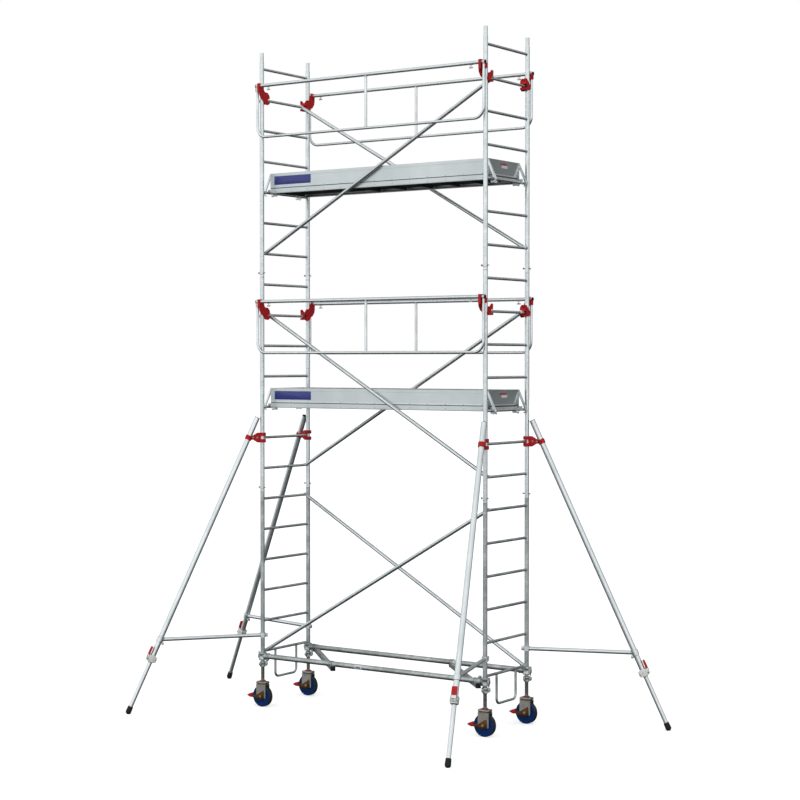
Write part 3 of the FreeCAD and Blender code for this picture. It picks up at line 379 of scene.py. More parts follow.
def dress_platforms():
    """The deck node takes three finishes: plywood, light side channels, and ribs below in a near-black
    painted shade.
    """
    mesh = frame["nodes"]["platform_decks"].data
    mesh.materials.append(FINISHES["toe_aluminium"])
    mesh.materials.append(FINISHES["underside_steel"])
    plywood, channel, rib = range(3)
    for face in mesh.polygons:
        x, y, z = face.center
        low = max((level for level in PLATFORM_LEVELS if level < z + 0.05), default=PLATFORM_LEVELS[0])
        at_side = abs(y - CENTRE.y) > DECK_HALF_W - 0.004
        at_end = abs(x - CENTRE.x) > DECK_HALF_L - 0.001
        if is_plywood(face, low):
            face.material_index = plywood
        elif at_side or at_end or z < low - 0.001 or z > low + BEAM_TOP:
            face.material_index = channel
        else:
            # The ribs under the deck take the painted shade.
            face.material_index = rib


def dress_toe_boards():
    """The end boards' end faces take a darker, duller copy of the long boards' sheet: painted shade."""
    mesh = frame["nodes"]["toe_boards"].data
    mesh.materials.append(FINISHES["end_board"])
    for face in mesh.polygons:
        on_board = abs(face.center.x - CENTRE.x) < DECK_HALF_L + 0.002
        if abs(face.normal.x) > 0.9 and on_board:
            face.material_index = 1


def round_edges(node, width):
    """A bevel modifier on a CAD node of moulded or pressed pieces. Its own mesh stays as it is."""
    bevel = frame["nodes"][node].modifiers.new("soft_edges", "BEVEL")
    bevel.width = width
    bevel.segments = 2
    bevel.limit_method = "ANGLE"
    bevel.angle_limit = BEVEL_ABOVE


# ---- shapes

IDENTITY = Matrix.Identity(4)


def turns(count):
    """The angles of count equal steps round a circle."""
    return [2 * math.pi * step / count for step in range(count)]


def arc(centre, radius, start, end, steps):
    """Points of a circular arc in the plane, in degrees."""
    angles = [math.radians(start + (end - start) * step / steps) for step in range(steps + 1)]
    return [(centre[0] + radius * math.cos(a), centre[1] + radius * math.sin(a)) for a in angles]


def rounded(outline, radius, steps=4):
    """The outline with every corner turned into a curve that starts radius away from it."""
    points = []
    for index, corner in enumerate(outline):
        here = Vector(corner)
        before = Vector(outline[index - 1]) - here
        after = Vector(outline[(index + 1) % len(outline)]) - here
        start = here + before.normalized() * min(radius, before.length * 0.45)
        end = here + after.normalized() * min(radius, after.length * 0.45)
        for step in range(steps + 1):
            t = step / steps
            points.append(tuple(start * (1 - t) ** 2 + here * (2 * t * (1 - t)) + end * t**2))
    return points


def rectangle(width, height):
    x, y = width / 2, height / 2
    return [(-x, -y), (x, -y), (x, y), (-x, y)]


def band(inner, outer, low, high):
    """The square profile of a flat ring, or of a disc where inner is 0."""
    return [(inner, low), (outer, low), (outer, high), (inner, high)]


def skin(part, rings, sides, closed):
    """Faces between rings of vertices, each ring of sides vertices or of one at a pole."""
    pairs = list(zip(rings, rings[1:])) + ([(rings[-1], rings[0])] if closed else [])
    for lower, upper in pairs:
        for step in range(sides):
            following = (step + 1) % sides
            corners = [lower[step % len(lower)], lower[following % len(lower)]]
            corners += [upper[following % len(upper)], upper[step % len(upper)]]
            corners = list(dict.fromkeys(corners))
            if len(corners) > 2:
                part.faces.new(corners)


class Shape:
    """A mesh built up from turned, cut and swept parts, each placed by a matrix."""

    def __init__(self, place=IDENTITY):
        self.mesh = bmesh.new()
        self.place = place

    def absorb(self, part, where, soft=0):
        bmesh.ops.recalc_face_normals(part, faces=part.faces)
        if soft:
            sharp = [e for e in part.edges if e.is_manifold and e.calc_face_angle(0) > SMOOTH_BELOW]
            size = {"offset": soft, "segments": 2, "profile": 0.5, "clamp_overlap": True}
            bmesh.ops.bevel(part, geom=sharp, affect="EDGES", **size)
        bmesh.ops.transform(part, matrix=self.place @ where, verts=part.verts)
        scratch = bpy.data.meshes.new("scratch")
        part.to_mesh(scratch)
        part.free()
        self.mesh.from_mesh(scratch)
        bpy.data.meshes.remove(scratch)

    def lathe(self, profile, where=IDENTITY, segments=32, closed=False):
        """Turns a profile of (radius, z) points about Z. A closed profile makes a ring."""
        part = bmesh.new()
        rings = []
        for radius, z in profile:
            angles = turns(segments) if radius else [0]
            points = [(radius * math.cos(t), radius * math.sin(t), z) for t in angles]
            rings.append([part.verts.new(point) for point in points])
        skin(part, rings, segments, closed)
        self.absorb(part, where)

    def ring(self, profile, where=IDENTITY, segments=32):
        self.lathe(profile, where, segments, closed=True)

    def prism(self, outline, depth, where=IDENTITY, soft=0):
        """An outline in X and Y, thickened along Z, half each way."""
        part = bmesh.new()
        base = part.faces.new([part.verts.new((x, y, -depth / 2)) for x, y in outline])
        grown = bmesh.ops.extrude_face_region(part, geom=[base])
        top = [item for item in grown["geom"] if isinstance(item, bmesh.types.BMVert)]
        bmesh.ops.translate(part, vec=(0, 0, depth), verts=top)
        self.absorb(part, where, soft)

    def plate(self, outline, radius, depth, where, soft=0):
        """A prism whose outline has rounded corners."""
        self.prism(rounded(outline, radius), depth, where, soft)

    def block(self, size, where, soft):
        self.prism(rectangle(size[0], size[1]), size[2], where, soft)

    def wire(self, points, radius, where=IDENTITY, closed=False, sides=8):
        """A round bar along points, with its ends closed."""
        part = bmesh.new()
        points = [Vector(p) for p in points]
        last = len(points) - 1
        normal = None
        rings = []
        for index, point in enumerate(points):
            before = points[index - 1] if index or closed else point
            after = points[(index + 1) % len(points)] if index < last or closed else point
            tangent = (after - before).normalized()
            if normal is None:
                normal = tangent.orthogonal()
            normal = (normal - tangent * normal.dot(tangent)).normalized()
            side = tangent.cross(normal)
            spokes = [normal * math.cos(t) + side * math.sin(t) for t in turns(sides)]
            rings.append([part.verts.new(point + spoke * radius) for spoke in spokes])
        skin(part, rings, sides, closed)
        if not closed:
            part.faces.new(rings[0])
            part.faces.new(rings[-1])
        self.absorb(part, where)

    def nut(self, size, height, where=IDENTITY):
        """A hexagon nut or bolt head, size across its flats, lying on its own base plane."""
        reach = size / math.sqrt(3)
        outline = [(reach * math.cos(t), reach * math.sin(t)) for t in turns(6)]
        self.prism(outline, height, where @ move(0, 0, height / 2), soft=height * 0.12)

    def dome(self, radius, height, where=IDENTITY):
        """A rivet head."""
        profile = [(radius * math.cos(a), height * math.sin(a)) for a in (0, 0.5, 1)]
        self.lathe([(radius, -height * 0.2)] + profile + [(0, height)], where, 12)

    def piece(self, name, finish, body="tower"):
        """The finished object, riding on its body, with its finish."""
        bmesh.ops.remove_doubles(self.mesh, verts=self.mesh.verts, dist=1e-7)
        mesh = bpy.data.meshes.new(name)
        self.mesh.to_mesh(mesh)
        self.mesh.free()
        mesh.materials.append(FINISHES[finish])
        mesh.shade_smooth()
        mesh.set_sharp_from_angle(angle=SMOOTH_BELOW)
        made = bpy.data.objects.new(name, mesh)
        bpy.context.scene.collection.objects.link(made)
        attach(made, body)
        return made


# ---- end frames

WELD_R = 0.0024
PIN_WASHER = mm((0, -3), (8.5, -3), (8.5, 1.2), (4.5, 2.2), (0, 2.2))
HOLE = mm((0, -2), (5.2, -2), (5.2, 0.1), (4.4, -1.2), (0, -1.2))
HOLES_ABOVE_JOINT = (0.095, 0.125, 0.19)
# A thin ring at each joint, in the near-black painted shade of the gap between the tubes.
SHADED_SEAM_RING = mm((19, -1.6), (20.7, -1.2), (20.7, 1.2), (19, 1.6))


def make_rung_welds():
    """The bead where each rung meets its standard: a loop on both tubes' surfaces."""
    for lift, rungs in LIFTS.items():
        shape = Shape()
        for number in rungs:
            for x_side, y_side in STANDARDS:
                loop = []
                for turn in turns(24):
                    beside = RUNG_R * math.cos(turn)
                    reach = y_side * (HALF_W - math.sqrt(STANDARD_R**2 - beside**2))
                    height = rung_z(number) + RUNG_R * math.sin(turn)
                    loop.append(at(x_side * HALF_L + beside, reach, height))
                shape.wire(loop, WELD_R, closed=True, sides=6)
        finish = "galvanised_old" if lift == "bottom" else "galvanised_steel"
        shape.piece(f"rung_welds_{lift}", finish)


def make_joint_details():
    """At each joint, a spring clip of wire, the pin's washers and a dark seam ring of painted shade in
    the joint's gap, with holes above as dark discs of painted shade.
    """
    clips, washers, shaded_gaps, holes = Shape(), Shape(), Shape(), Shape()
    half_turn = [math.pi * step / 20 for step in range(21)]
    for joint in JOINTS:
        pin = joint + PIN_ABOVE_JOINT
        for x_side, y_side in STANDARDS:
            x, y = x_side * HALF_L, y_side * HALF_W
            bow = [(x + 0.031 * math.cos(a), y + y_side * 0.026 * math.sin(a), a) for a in half_turn]
            clips.wire([at(px, py, pin - 0.016 * math.sin(a)) for px, py, a in bow], 0.0013, sides=6)
            for side in SIDES:
                face = axes(at(x + side * STANDARD_R, y, pin), X_AXIS * side, Y_AXIS)
                washers.lathe(PIN_WASHER, face, 20)
            shaded_gaps.ring(SHADED_SEAM_RING, move(*at(x, y, joint)), 36)
            # Each hole is a shallow dark disc: painted shade inside the hole.
            for above in HOLES_ABOVE_JOINT:
                face = at(x, y, joint + above) + Y_AXIS * (y_side * STANDARD_R)
                holes.lathe(HOLE, across(*face, y_side), 20)
    clips.piece("pin_clips", "zinc_plate")
    washers.piece("pin_washers", "zinc_plate")
    shaded_gaps.piece("joint_shaded_gaps", "underside_steel")
    holes.piece("standard_holes", "underside_steel")


# ---- base

COUPLER_MIDDLE = -0.0465
COUPLER_JACKET = mm(
    (20.8, -80), (33.5, -80), (35, -76), (35, -68), (30.2, -61), (30.2, -34), (35, -27), (35, -17),
    (33.5, -13), (20.8, -13),
)
COUPLER_LUG = mm((26, -30), (45, -22), (49, 0), (45, 24), (26, 30))
COUPLER_WEDGE = mm((34, -45), (43, -45), (49, 28), (54, 40), (35, 40))
TUBE_CLAMP = mm((24.4, 0), (31.5, 0), (31.5, 6), (29, 9), (29, 33), (31, 36), (31, 42), (24.4, 42))


def make_base_coupler(corner):
    """A cast coupler on a standard's foot: a jacket, a lug with a wedge, and a clamp on the tube."""
    x_side, y_side, _ = CORNERS[corner]
    shape = Shape(move(*at(x_side * HALF_L, y_side * HALF_W, RUNG_0)))
    shape.ring(COUPLER_JACKET, segments=40)
    face = axes(Z_AXIS * COUPLER_MIDDLE, Y_AXIS * -x_side, X_AXIS * x_side)
    shape.plate(COUPLER_LUG, 0.006, 0.024, face, soft=0.0015)
    shape.plate(COUPLER_WEDGE, 0.003, 0.0065, face, soft=0.001)
    clamp = axes(Vector((-x_side * 0.031, 0, -BASE_TUBE_DROP)), X_AXIS * -x_side, Y_AXIS)
    shape.ring(TUBE_CLAMP, clamp, 36)
    for side in SIDES:
        shape.block((0.0045, 0.02, 0.026), clamp @ move(0.0055 * side, -0.037, 0.021), soft=0.001)
        bolt = clamp @ axes(Vector((0.0078 * side, -0.039, 0.021)), X_AXIS * side, Z_AXIS)
        shape.nut(0.014, 0.007, bolt)
    shape.piece(f"base_coupler_{corner}", "galvanised_old")


BRACE_SIZE = 0.04
BRACE_PAST_TUBES = ((-1, 0.045), (1, 0.095))
U_BOLT_R = 0.0028


def make_plan_brace_details():
    """Black end plugs, bolts with washers, and U-bolts that hold the square braces to the tubes."""
    low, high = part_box("plan_braces")
    brace_z = high.z - BRACE_SIZE / 2
    plugs, bolts = Shape(), Shape()
    run = Vector((1, -1, 0)).normalized()
    bow = arc((0, RUNG_0 - BASE_TUBE_DROP), BASE_TUBE_R + 0.0024, 0, 180, 16)
    bow = [(bow[0][0], brace_z + 0.004)] + bow + [(bow[-1][0], brace_z + 0.004)]
    for crossing in PLAN_BRACE_CROSSINGS:
        for way, past in BRACE_PAST_TUBES:
            reach = way * (HALF_W * math.sqrt(2) + past - 0.007)
            end = axes(at(crossing, 0, brace_z) + run * reach, run * way, Z_AXIS)
            plugs.plate(rectangle(0.0428, 0.0428), 0.005, 0.024, end, soft=0.002)
        for side in SIDES:
            spot = at(crossing - side * HALF_W, side * HALF_W, low.z + 0.0071)
            washer = axes(spot, -Z_AXIS, X_AXIS)
            bolts.lathe(band(0, 0.0125, 0, 0.0022), washer, 24)
            bolts.nut(0.0165, 0.0068, washer)
            for beside in (-0.012, 0.012):
                bolts.wire([(spot.x + beside, spot.y + y, z) for y, z in bow], U_BOLT_R)
    plugs.piece("plan_brace_plugs", "cap_black")
    bolts.piece("plan_brace_bolts", "zinc_plate")


def wrapped(radius, thickness, start, end):
    """The outline of a thin sheet wrapped on a tube, between two angles in degrees."""
    return arc((0, 0), radius + thickness, start, end, 14) + arc((0, 0), radius, end, start, 14)


def make_base_sticker():
    """A blank white sticker with a grey rule, wrapped on the front base tube."""
    place = axes(at(-0.11, -HALF_W, RUNG_0 - BASE_TUBE_DROP), X_AXIS, -Y_AXIS)
    sheet, rule = Shape(place), Shape(place)
    sheet.prism(wrapped(BASE_TUBE_R, 0.0006, -52, 68), 0.08)
    rule.prism(wrapped(BASE_TUBE_R + 0.0005, 0.0004, -14, 22), 0.052)
    sheet.piece("base_sticker", "label_white")
    rule.piece("base_sticker_rule", "label_grey")


# ---- legs and castors

THREAD_ROOT = SCREW_R - 0.0023
THREAD_FORM = ((THREAD_ROOT, -0.34), (SCREW_R, -0.16), (SCREW_R, 0.16), (THREAD_ROOT, 0.34))
THREAD_LOW, THREAD_HIGH = 0.262, 0.724
THREAD_STEPS = 24
STEM = mm((0, 240), (14.8, 240), (14.8, 728), (13.5, 730), (0, 730))
HEAD_CONE = mm((20.5, 243), (24.5, 243), (23.5, 246.5), (19.5, 251.5), (16.5, 251.5))
COVER = mm((15.8, 251.5), (20.5, 250), (28.5, 243.5), (34.5, 237.5), (34.5, 235.5), (15.8, 235.5))


def add_thread(shape):
    """A trapezoidal thread as a strip wound round Z, closed onto itself from turn to turn."""
    part = bmesh.new()
    steps = int((THREAD_HIGH - THREAD_LOW) / THREAD_PITCH * THREAD_STEPS)
    rows = []
    for step in range(steps + 1):
        turn = 2 * math.pi * step / THREAD_STEPS
        x, y, z = math.cos(turn), math.sin(turn), THREAD_LOW + THREAD_PITCH * step / THREAD_STEPS
        rows.append([part.verts.new((r * x, r * y, z + up * THREAD_PITCH)) for r, up in THREAD_FORM])
    for step, (row, following) in enumerate(zip(rows, rows[1:])):
        for column in range(3):
            part.faces.new([row[column], following[column], following[column + 1], row[column + 1]])
        if step + 1 + THREAD_STEPS <= steps:
            above, above_following = rows[step + THREAD_STEPS], rows[step + 1 + THREAD_STEPS]
            part.faces.new([row[3], following[3], above_following[0], above[0]])
    shape.absorb(part, IDENTITY)


def make_leg_screw(corner):
    """Head plate, red cover, steel cone and threaded stem, in place of the plain solid."""
    place, body = corner_place(corner), f"screw_{corner}"
    stem, plate, cover = Shape(place), Shape(place), Shape(place)
    stem.lathe(STEM, segments=24)
    add_thread(stem)
    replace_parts(stem.piece(f"threaded_stem_{corner}", "steel_screw", body), f"leg_screw_{corner}")
    head = rounded(rectangle(0.114, 0.072), 0.014, 6)
    plate.prism(head, 0.0185, move(0, 0, CASTOR_PLATE_TOP - 0.0093), soft=0.0045)
    plate.prism(rounded(rectangle(0.104, 0.064), 0.012, 6), 0.006, move(0, 0, 0.2185), soft=0.001)
    plate.lathe(HEAD_CONE)
    for x_side, y_side in STANDARDS:
        plate.nut(0.009, 0.0042, move(x_side * 0.044, y_side * 0.024, CASTOR_PLATE_TOP - 0.0005))
    plate.piece(f"castor_plate_{corner}", "zinc_plate", body)
    cover.ring(COVER, segments=40)
    cover.piece(f"castor_cover_{corner}", "cover_red", body)


# Radius, and depth below the nut's upper face
NUT_BODY = mm(
    (17.9, 50), (21.5, 50), (23.5, 47), (23.5, 40), (22.2, 36), (23.2, 20), (26.8, 14), (26.8, 3),
    (25, 0.5), (17.9, 0.5),
)
NUT_WING = mm((21, -18), (30, -24), (40, -20), (47.8, -6), (47.8, 12), (40, 19), (21, 19))


def make_jack_nut(corner):
    """Cast adjusting nut: a long threaded body with flanges, and three heavy flaps beside it."""
    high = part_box(f"jack_nut_{corner}")[1].z
    shape = Shape(corner_place(corner))
    shape.ring([(radius, high - drop) for radius, drop in NUT_BODY], segments=40)
    for turn in (spin(30), spin(150), spin(270)):
        shape.plate(NUT_WING, 0.006, 0.0095, turn @ across(0, 0, high - 0.021, -1), soft=0.002)
        shape.block((0.0055, 0.021, 0.026), turn @ move(0.0445, 0, high - 0.02), soft=0.002)
    nut = shape.piece(f"cast_jack_nut_{corner}", "galvanised_old", f"nut_{corner}")
    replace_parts(nut, f"jack_nut_{corner}")


BRAKE_PLATE = mm((-104, -16), (-104, 2), (-45, 12), (33, 59), (42, -17), (0, -38))
BRAKE_RIB = mm((-85, -7), (-45, 1), (-18, 12), (20, 36))
BRAKE_BOSS = mm((12.5, -1), (16.5, -1), (16, 0.8), (12.5, 1))
PEDAL = mm((-100, -18), (-100, 14), (-118, 19), (-136, 15), (-163, 1), (-163, -6), (-128, -20))


def make_brake(corner):
    """Two pressed side plates with a raised rib and an axle boss, joined by a ribbed red pedal."""
    body = f"brake_{corner}"
    place = corner_place(corner) @ move(0, 0, AXLE_Z)
    plates, pedal = Shape(place), Shape(place)
    for side in SIDES:
        plates.plate(BRAKE_PLATE, 0.01, 0.0026, across(0, side * 0.033, 0, -1), soft=0.0006)
        plates.wire([(x, side * 0.0346, z) for x, z in BRAKE_RIB], 0.0016)
        plates.ring(BRAKE_BOSS, across(0, side * 0.0338, 0, side), 28)
    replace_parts(plates.piece(f"brake_plates_{corner}", "brake_brass", body), f"brake_pedal_{corner}")
    pedal.plate(PEDAL, 0.006, 0.066, across(0, 0, 0, -1), soft=0.003)
    for index in range(4):
        tread = move(-0.122 - 0.009 * index, 0, 0.0185 - 0.0055 * index)
        pedal.block((0.0028, 0.052, 0.0022), tread, soft=0.0008)
    pedal.piece(f"brake_tread_{corner}", "lever_red", body)


RACE = mm((30, 208.5), (41.5, 208.5), (43.5, 210.5), (43.5, 213), (40, 214.6), (30, 214.6))
HUB_RING = mm((-1.6, -1), (-1.1, 1.2), (1.1, 1.2), (1.6, -1))
HUB_RING_RADII = (0.0865, 0.0795)
AXLE_WASHER = band(0.0062, 0.0125, 0, 0.0018)


def make_castor_details(corner):
    """Ball race rings, axle nuts with washers, and the hub's raised rings and ribs."""
    place = corner_place(corner)
    race, hub = Shape(place), Shape(place)
    race.ring(RACE, segments=40)
    for side in SIDES:
        end = across(0, side * 0.0352, AXLE_Z, side)
        race.ring(AXLE_WASHER, end, 24)
        race.nut(0.0185, 0.0066, end @ move(0, 0, 0.0018))
        race.dome(0.0058, 0.0028, end @ move(0, 0, 0.0086))
        for radius in HUB_RING_RADII:
            ring = [(radius + out, z) for out, z in HUB_RING]
            hub.ring(ring, across(0, side * 0.0236, AXLE_Z, side), 64)
        recess = across(0, side * 0.019, AXLE_Z, side)
        for spoke in range(8):
            rib = recess @ spin(45 * spoke + 22.5) @ move(0.053, 0, 0.0008)
            hub.block((0.048, 0.005, 0.0072), rib, soft=0.001)
    race.piece(f"castor_race_{corner}", "zinc_plate", f"castor_{corner}")
    hub.piece(f"hub_ribs_{corner}", "wheel_blue", f"wheel_{corner}")


# ---- guardrails

WELD_BEAD = 0.0022
END_CAP = mm((0, -0.5), (16.8, -0.5), (17.2, 1), (17.2, 3.5), (15, 5.8), (0, 6.2))


def weld_ring(shape, where, radius):
    """A bead round a tube's end."""
    inner = radius - WELD_BEAD
    rim = [(radius + WELD_BEAD * 0.9, 0.0006), (radius + WELD_BEAD * 0.2, WELD_BEAD * 1.4)]
    shape.ring([(inner, 0)] + rim + [(inner, WELD_BEAD * 1.5)], where, 28)


def make_guardrail_details():
    """Welds of the posts, flanged end caps and the pull triggers' guides."""
    welds, caps, guides = Shape(), Shape(), Shape()
    for number in HOOK_RUNGS:
        top = rung_z(number) + RAIL_UP
        for y_side in SIDES:
            y = y_side * RAIL_Y
            for x in (-RAIL_POST_X, 0, RAIL_POST_X):
                head = at(x, y, top - RAIL_R - 0.0006)
                weld_ring(welds, axes(head, -Z_AXIS, X_AXIS), RAIL_POST_R)
            foot = at(0, y, top - RAIL_DROP + RAIL_POST_R)
            weld_ring(welds, axes(foot, Z_AXIS, X_AXIS), RAIL_POST_R)
            for x_side in SIDES:
                caps.lathe(END_CAP, axes(at(x_side * RAIL_END_X, y, top), X_AXIS * x_side, Z_AXIS), 32)
                guide = axes(at(x_side * TRIGGER_X, y, top - RAIL_R), -Z_AXIS, X_AXIS)
                guides.plate(rectangle(0.036, 0.013), 0.004, 0.004, guide, soft=0.0008)
    welds.piece("guardrail_welds", "bright_tube")
    caps.piece("guardrail_end_caps", "cap_black")
    guides.piece("trigger_guides", "zinc_plate")


# ---- platforms

# Folds of the long boards: the way out of the board, and the height above the fold's foot
TOP_FOLD = mm((0, 0), (1.8, 0.8), (1.8, 26.8), (0.8, 28), (-1, 28), (-1, 0))
FOOT_FOLD = mm((-1, 0), (1.6, 0), (1.6, 10.5), (0.4, 12.5), (-1, 12.5))
CHANNEL_LIP = mm((-3, -8), (0.6, -8), (1.4, -6), (1.4, 4), (-3, 4))
RIVET_FIRST_X, RIVET_STEP = -1.14, 0.19


def make_toe_board_details():
    """The folded upper band of each long board, a thin dark strip of painted shadow at its foot, and
    its two rows of rivets.
    """
    bands, shaded_gaps, rivets = Shape(), Shape(), Shape()
    long, longer = 2 * DECK_HALF_L - 0.004, 2 * DECK_HALF_L - 0.002
    for z in PLATFORM_LEVELS:
        for side in SIDES:
            face = side * DECK_HALF_W
            bands.prism(TOP_FOLD, long, fold_axes(face, z + TOE_TOP - 0.0275, side))
            bands.prism(FOOT_FOLD, long, fold_axes(face, z + BEAM_TOP + 0.0045, side))
            bands.prism(CHANNEL_LIP, longer, fold_axes(face, z, side))
            # A thin dark strip where board meets beam: painted shadow in the gap.
            shaded_gap = fold_axes(face, z + BEAM_TOP + 0.0012, side)
            shaded_gaps.prism(rectangle(0.0009, 0.0065), longer, shaded_gap)
            for step in range(13):
                x = RIVET_FIRST_X + RIVET_STEP * step
                for y, above in ((face, 0.011), (face + side * 0.0016, BEAM_TOP + 0.0105)):
                    rivets.dome(0.0042, 0.0018, across(*at(x, y, z + above), side))
    bands.piece("toe_board_folds", "toe_aluminium")
    shaded_gaps.piece("toe_board_shaded_gaps", "underside_steel")
    rivets.piece("toe_board_rivets", "zinc_plate")


def fold_axes(face, z, side):
    """A frame at the middle of a long board, with X out of the board and Y up."""
    return axes(at(0, face, z), X_AXIS * side, Y_AXIS * side)


def make_plates_and_labels():
    """Blank blue plates on the front toe boards, and a blank label with a red strip on each end."""
    plates, labels, strips = Shape(), Shape(), Shape()
    for z in PLATFORM_LEVELS:
        face = across(*at(-0.935, -DECK_HALF_W - 0.0006, z + 0.111), -1)
        plates.plate(rectangle(0.425, 0.083), 0.004, 0.0016, face, soft=0.0004)
        end = along(at(DECK_HALF_L + 0.0005, 0, z + 0.125), 1)
        labels.plate(rectangle(0.095, 0.022), 0.003, 0.0012, end @ move(0.01, -0.006, 0))
        strips.plate(rectangle(0.115, 0.014), 0.002, 0.0014, end @ move(-0.01, 0.017, 0))
    plates.piece("blank_plates", "plate_blue")
    labels.piece("blank_labels", "label_white")
    strips.piece("label_strips", "label_red")


SILL = mm((-238, 0), (238, 0), (238, 10), (-238, 10))
END_GUSSET = mm((0, 0), (83, 0), (76, 10), (14, 98), (0, 112))
STAY_FACE = mm((1196, 172), (1282, -4), (1276, -24), (1262, -14), (1254, 4), (1192, 136))
STAY_LAPS = (0.2553, 0.2627)
END_BOLTS_UP = (0.052, 0.092, 0.132)


def make_platform_details():
    """Sills, bright gussets and stay faces at the ends of the platforms, and their bolts."""
    straps, gussets, bolts = Shape(), Shape(), Shape()
    for z in PLATFORM_LEVELS:
        for x_side in SIDES:
            end_x = x_side * DECK_HALF_L
            face = along(at(end_x, 0, z + BEAM_TOP + 0.002), x_side)
            straps.plate(SILL, 0.002, 0.004, face, soft=0.0008)
            for y_side in SIDES:
                corner = at(end_x + x_side * 0.0012, y_side * 0.244, z + BEAM_TOP + 0.008)
                outline = [(-x_side * y_side * beside, up) for beside, up in END_GUSSET]
                gussets.prism(outline, 0.0024, along(corner, x_side), soft=0.0006)
                for up in END_BOLTS_UP:
                    spot = at(end_x + x_side * 0.0024, y_side * 0.236, z + up)
                    bolts.dome(0.0048, 0.0026, axes(spot, X_AXIS * x_side, Y_AXIS))
                stay = [(x_side * x, up) for x, up in STAY_FACE]
                for lap in STAY_LAPS:
                    gussets.prism(stay, 0.0014, across(*at(0, y_side * lap, z), -1), soft=0.0005)
                for side in SIDES:
                    bolt = at(x_side * 1.215, y_side * 0.223 + side * 0.009, z + 0.0215)
                    bolts.nut(0.01, 0.004, across(*bolt, side))
    straps.piece("platform_end_sills", "toe_aluminium")
    gussets.piece("platform_gussets", "bright_tube")
    bolts.piece("platform_bolts", "zinc_plate")


PULL_CUP = mm((0, 0.4), (22, 0.4), (26, 2.2), (31, 1.8), (32, 0), (0, -2))
PULL_RING_R = 0.02
DECK_SCREW = mm((0, 0.3), (1.8, 0.3), (3.4, 0.9), (4.4, 0.6), (4.4, -1))
LEAF_SCREWS_Y = (-0.128, -0.113, 0.113, 0.128)


def hinge_place(level):
    """Where a trapdoor's hinge is, the way the trapdoor runs from it, and the deck's height."""
    hinge = HATCH_HINGE_X[level]
    return hinge, (1 if hinge > 0 else -1), rung_z(PLATFORM_RUNGS[level]) + BEAM_TOP


def make_hatch_details(level):
    """A recessed ring pull, hinge screws and a worn metal edge on the trapdoor."""
    hinge, away, z = hinge_place(level)
    far = hinge + away * HATCH_LENGTH
    metal = Shape()
    cup = move(*at(far - away * 0.075, 0, z))
    metal.lathe(PULL_CUP, cup, 36)
    ring = [(PULL_RING_R * math.cos(t), PULL_RING_R * math.sin(t), 0.0034) for t in turns(32)]
    metal.wire(ring, 0.0022, cup, closed=True)
    metal.block((0.01, 0.008, 0.005), cup @ move(-away * 0.0225, 0, 0.003), soft=0.001)
    inner, outer = hinge + away * 0.012, far - away * 0.004
    for y in (-0.217, 0.217):
        edge = move(*at((inner + outer) / 2, y, z + 0.0008))
        metal.block((abs(outer - inner), 0.01, 0.0022), edge, soft=0.0007)
    edge = move(*at(outer - away * 0.006, 0, z + 0.0008))
    metal.block((0.01, 0.424, 0.0022), edge, soft=0.0007)
    for y in (-0.075, -0.025, 0.025, 0.075):
        metal.dome(0.0045, 0.002, move(*at(hinge + away * 0.028, y, z + 0.002)))
    metal.piece(f"hatch_fittings_{level}", "zinc_plate", f"hatch_{level}")


def make_deck_details():
    """Countersunk screws along the deck's edges and screws in the fixed hinge leaves."""
    screws = Shape()
    for level in PLATFORM_RUNGS:
        hinge, away, z = hinge_place(level)
        for step in range(15):
            for side in SIDES:
                screws.lathe(DECK_SCREW, move(*at(-1.16 + step * 0.1657, side * 0.246, z)), 16)
        for y in LEAF_SCREWS_Y:
            screws.dome(0.0042, 0.002, move(*at(hinge - away * 0.028, y, z + 0.002)))
    screws.piece("deck_screws", "zinc_plate")


# ---- stabilisers

# Points in the XZ plane of their own corner's turned frame
STRAP_Z = rung_z(STRAP_RUNG)
LEG_TOP = Vector((0.048, 0, STRAP_Z + 0.185))
FOOT = Vector((1.26, 0, 0.024))
DOWN_LEG = (FOOT - LEG_TOP).normalized()
OUT_OF_LEG = Vector((-DOWN_LEG.z, 0, DOWN_LEG.x))
STRUT_Z = RUNG_0 + 0.152
RING_CENTRE = LEG_TOP + DOWN_LEG * ((STRUT_Z - LEG_TOP.z) / DOWN_LEG.z)
ARM_END = RING_CENTRE + DOWN_LEG * 0.2
LEVER_PIVOT = ARM_END + OUT_OF_LEG * 0.039
STRAP_CENTRE = LEG_TOP + DOWN_LEG * ((STRAP_Z - LEG_TOP.z) / DOWN_LEG.z)

BOLT_END = mm((0, -4), (4.2, -4), (4.2, 20), (3.2, 22), (0, 22))
NUT_BARREL = mm((4.2, 2), (8.8, 2), (7.5, 13), (4.2, 13))
NUT_EAR = mm((4, 3), (12, 4), (21, 12), (23, 19), (16, 18), (4, 12))
COLLAR_EAR = mm((-12, -18), (13, -14), (13, 14), (-12, 18))
RING_EAR = mm((-12, -14), (14, -12), (14, 12), (-12, 14))


def leg_axes(point):
    """A frame on the leg: Z down the leg, X out of it, Y level."""
    return axes(point, DOWN_LEG, OUT_OF_LEG)


def add_wing_nut(shape, where):
    """A bolt end with a wing nut, along Z."""
    shape.lathe(BOLT_END, where, 16)
    shape.ring(NUT_BARREL, where, 20)
    for direction in (180, 0):
        ear = where @ spin(direction) @ across(0, 0, 0, -1)
        shape.plate(NUT_EAR, 0.003, 0.0034, ear, soft=0.0008)


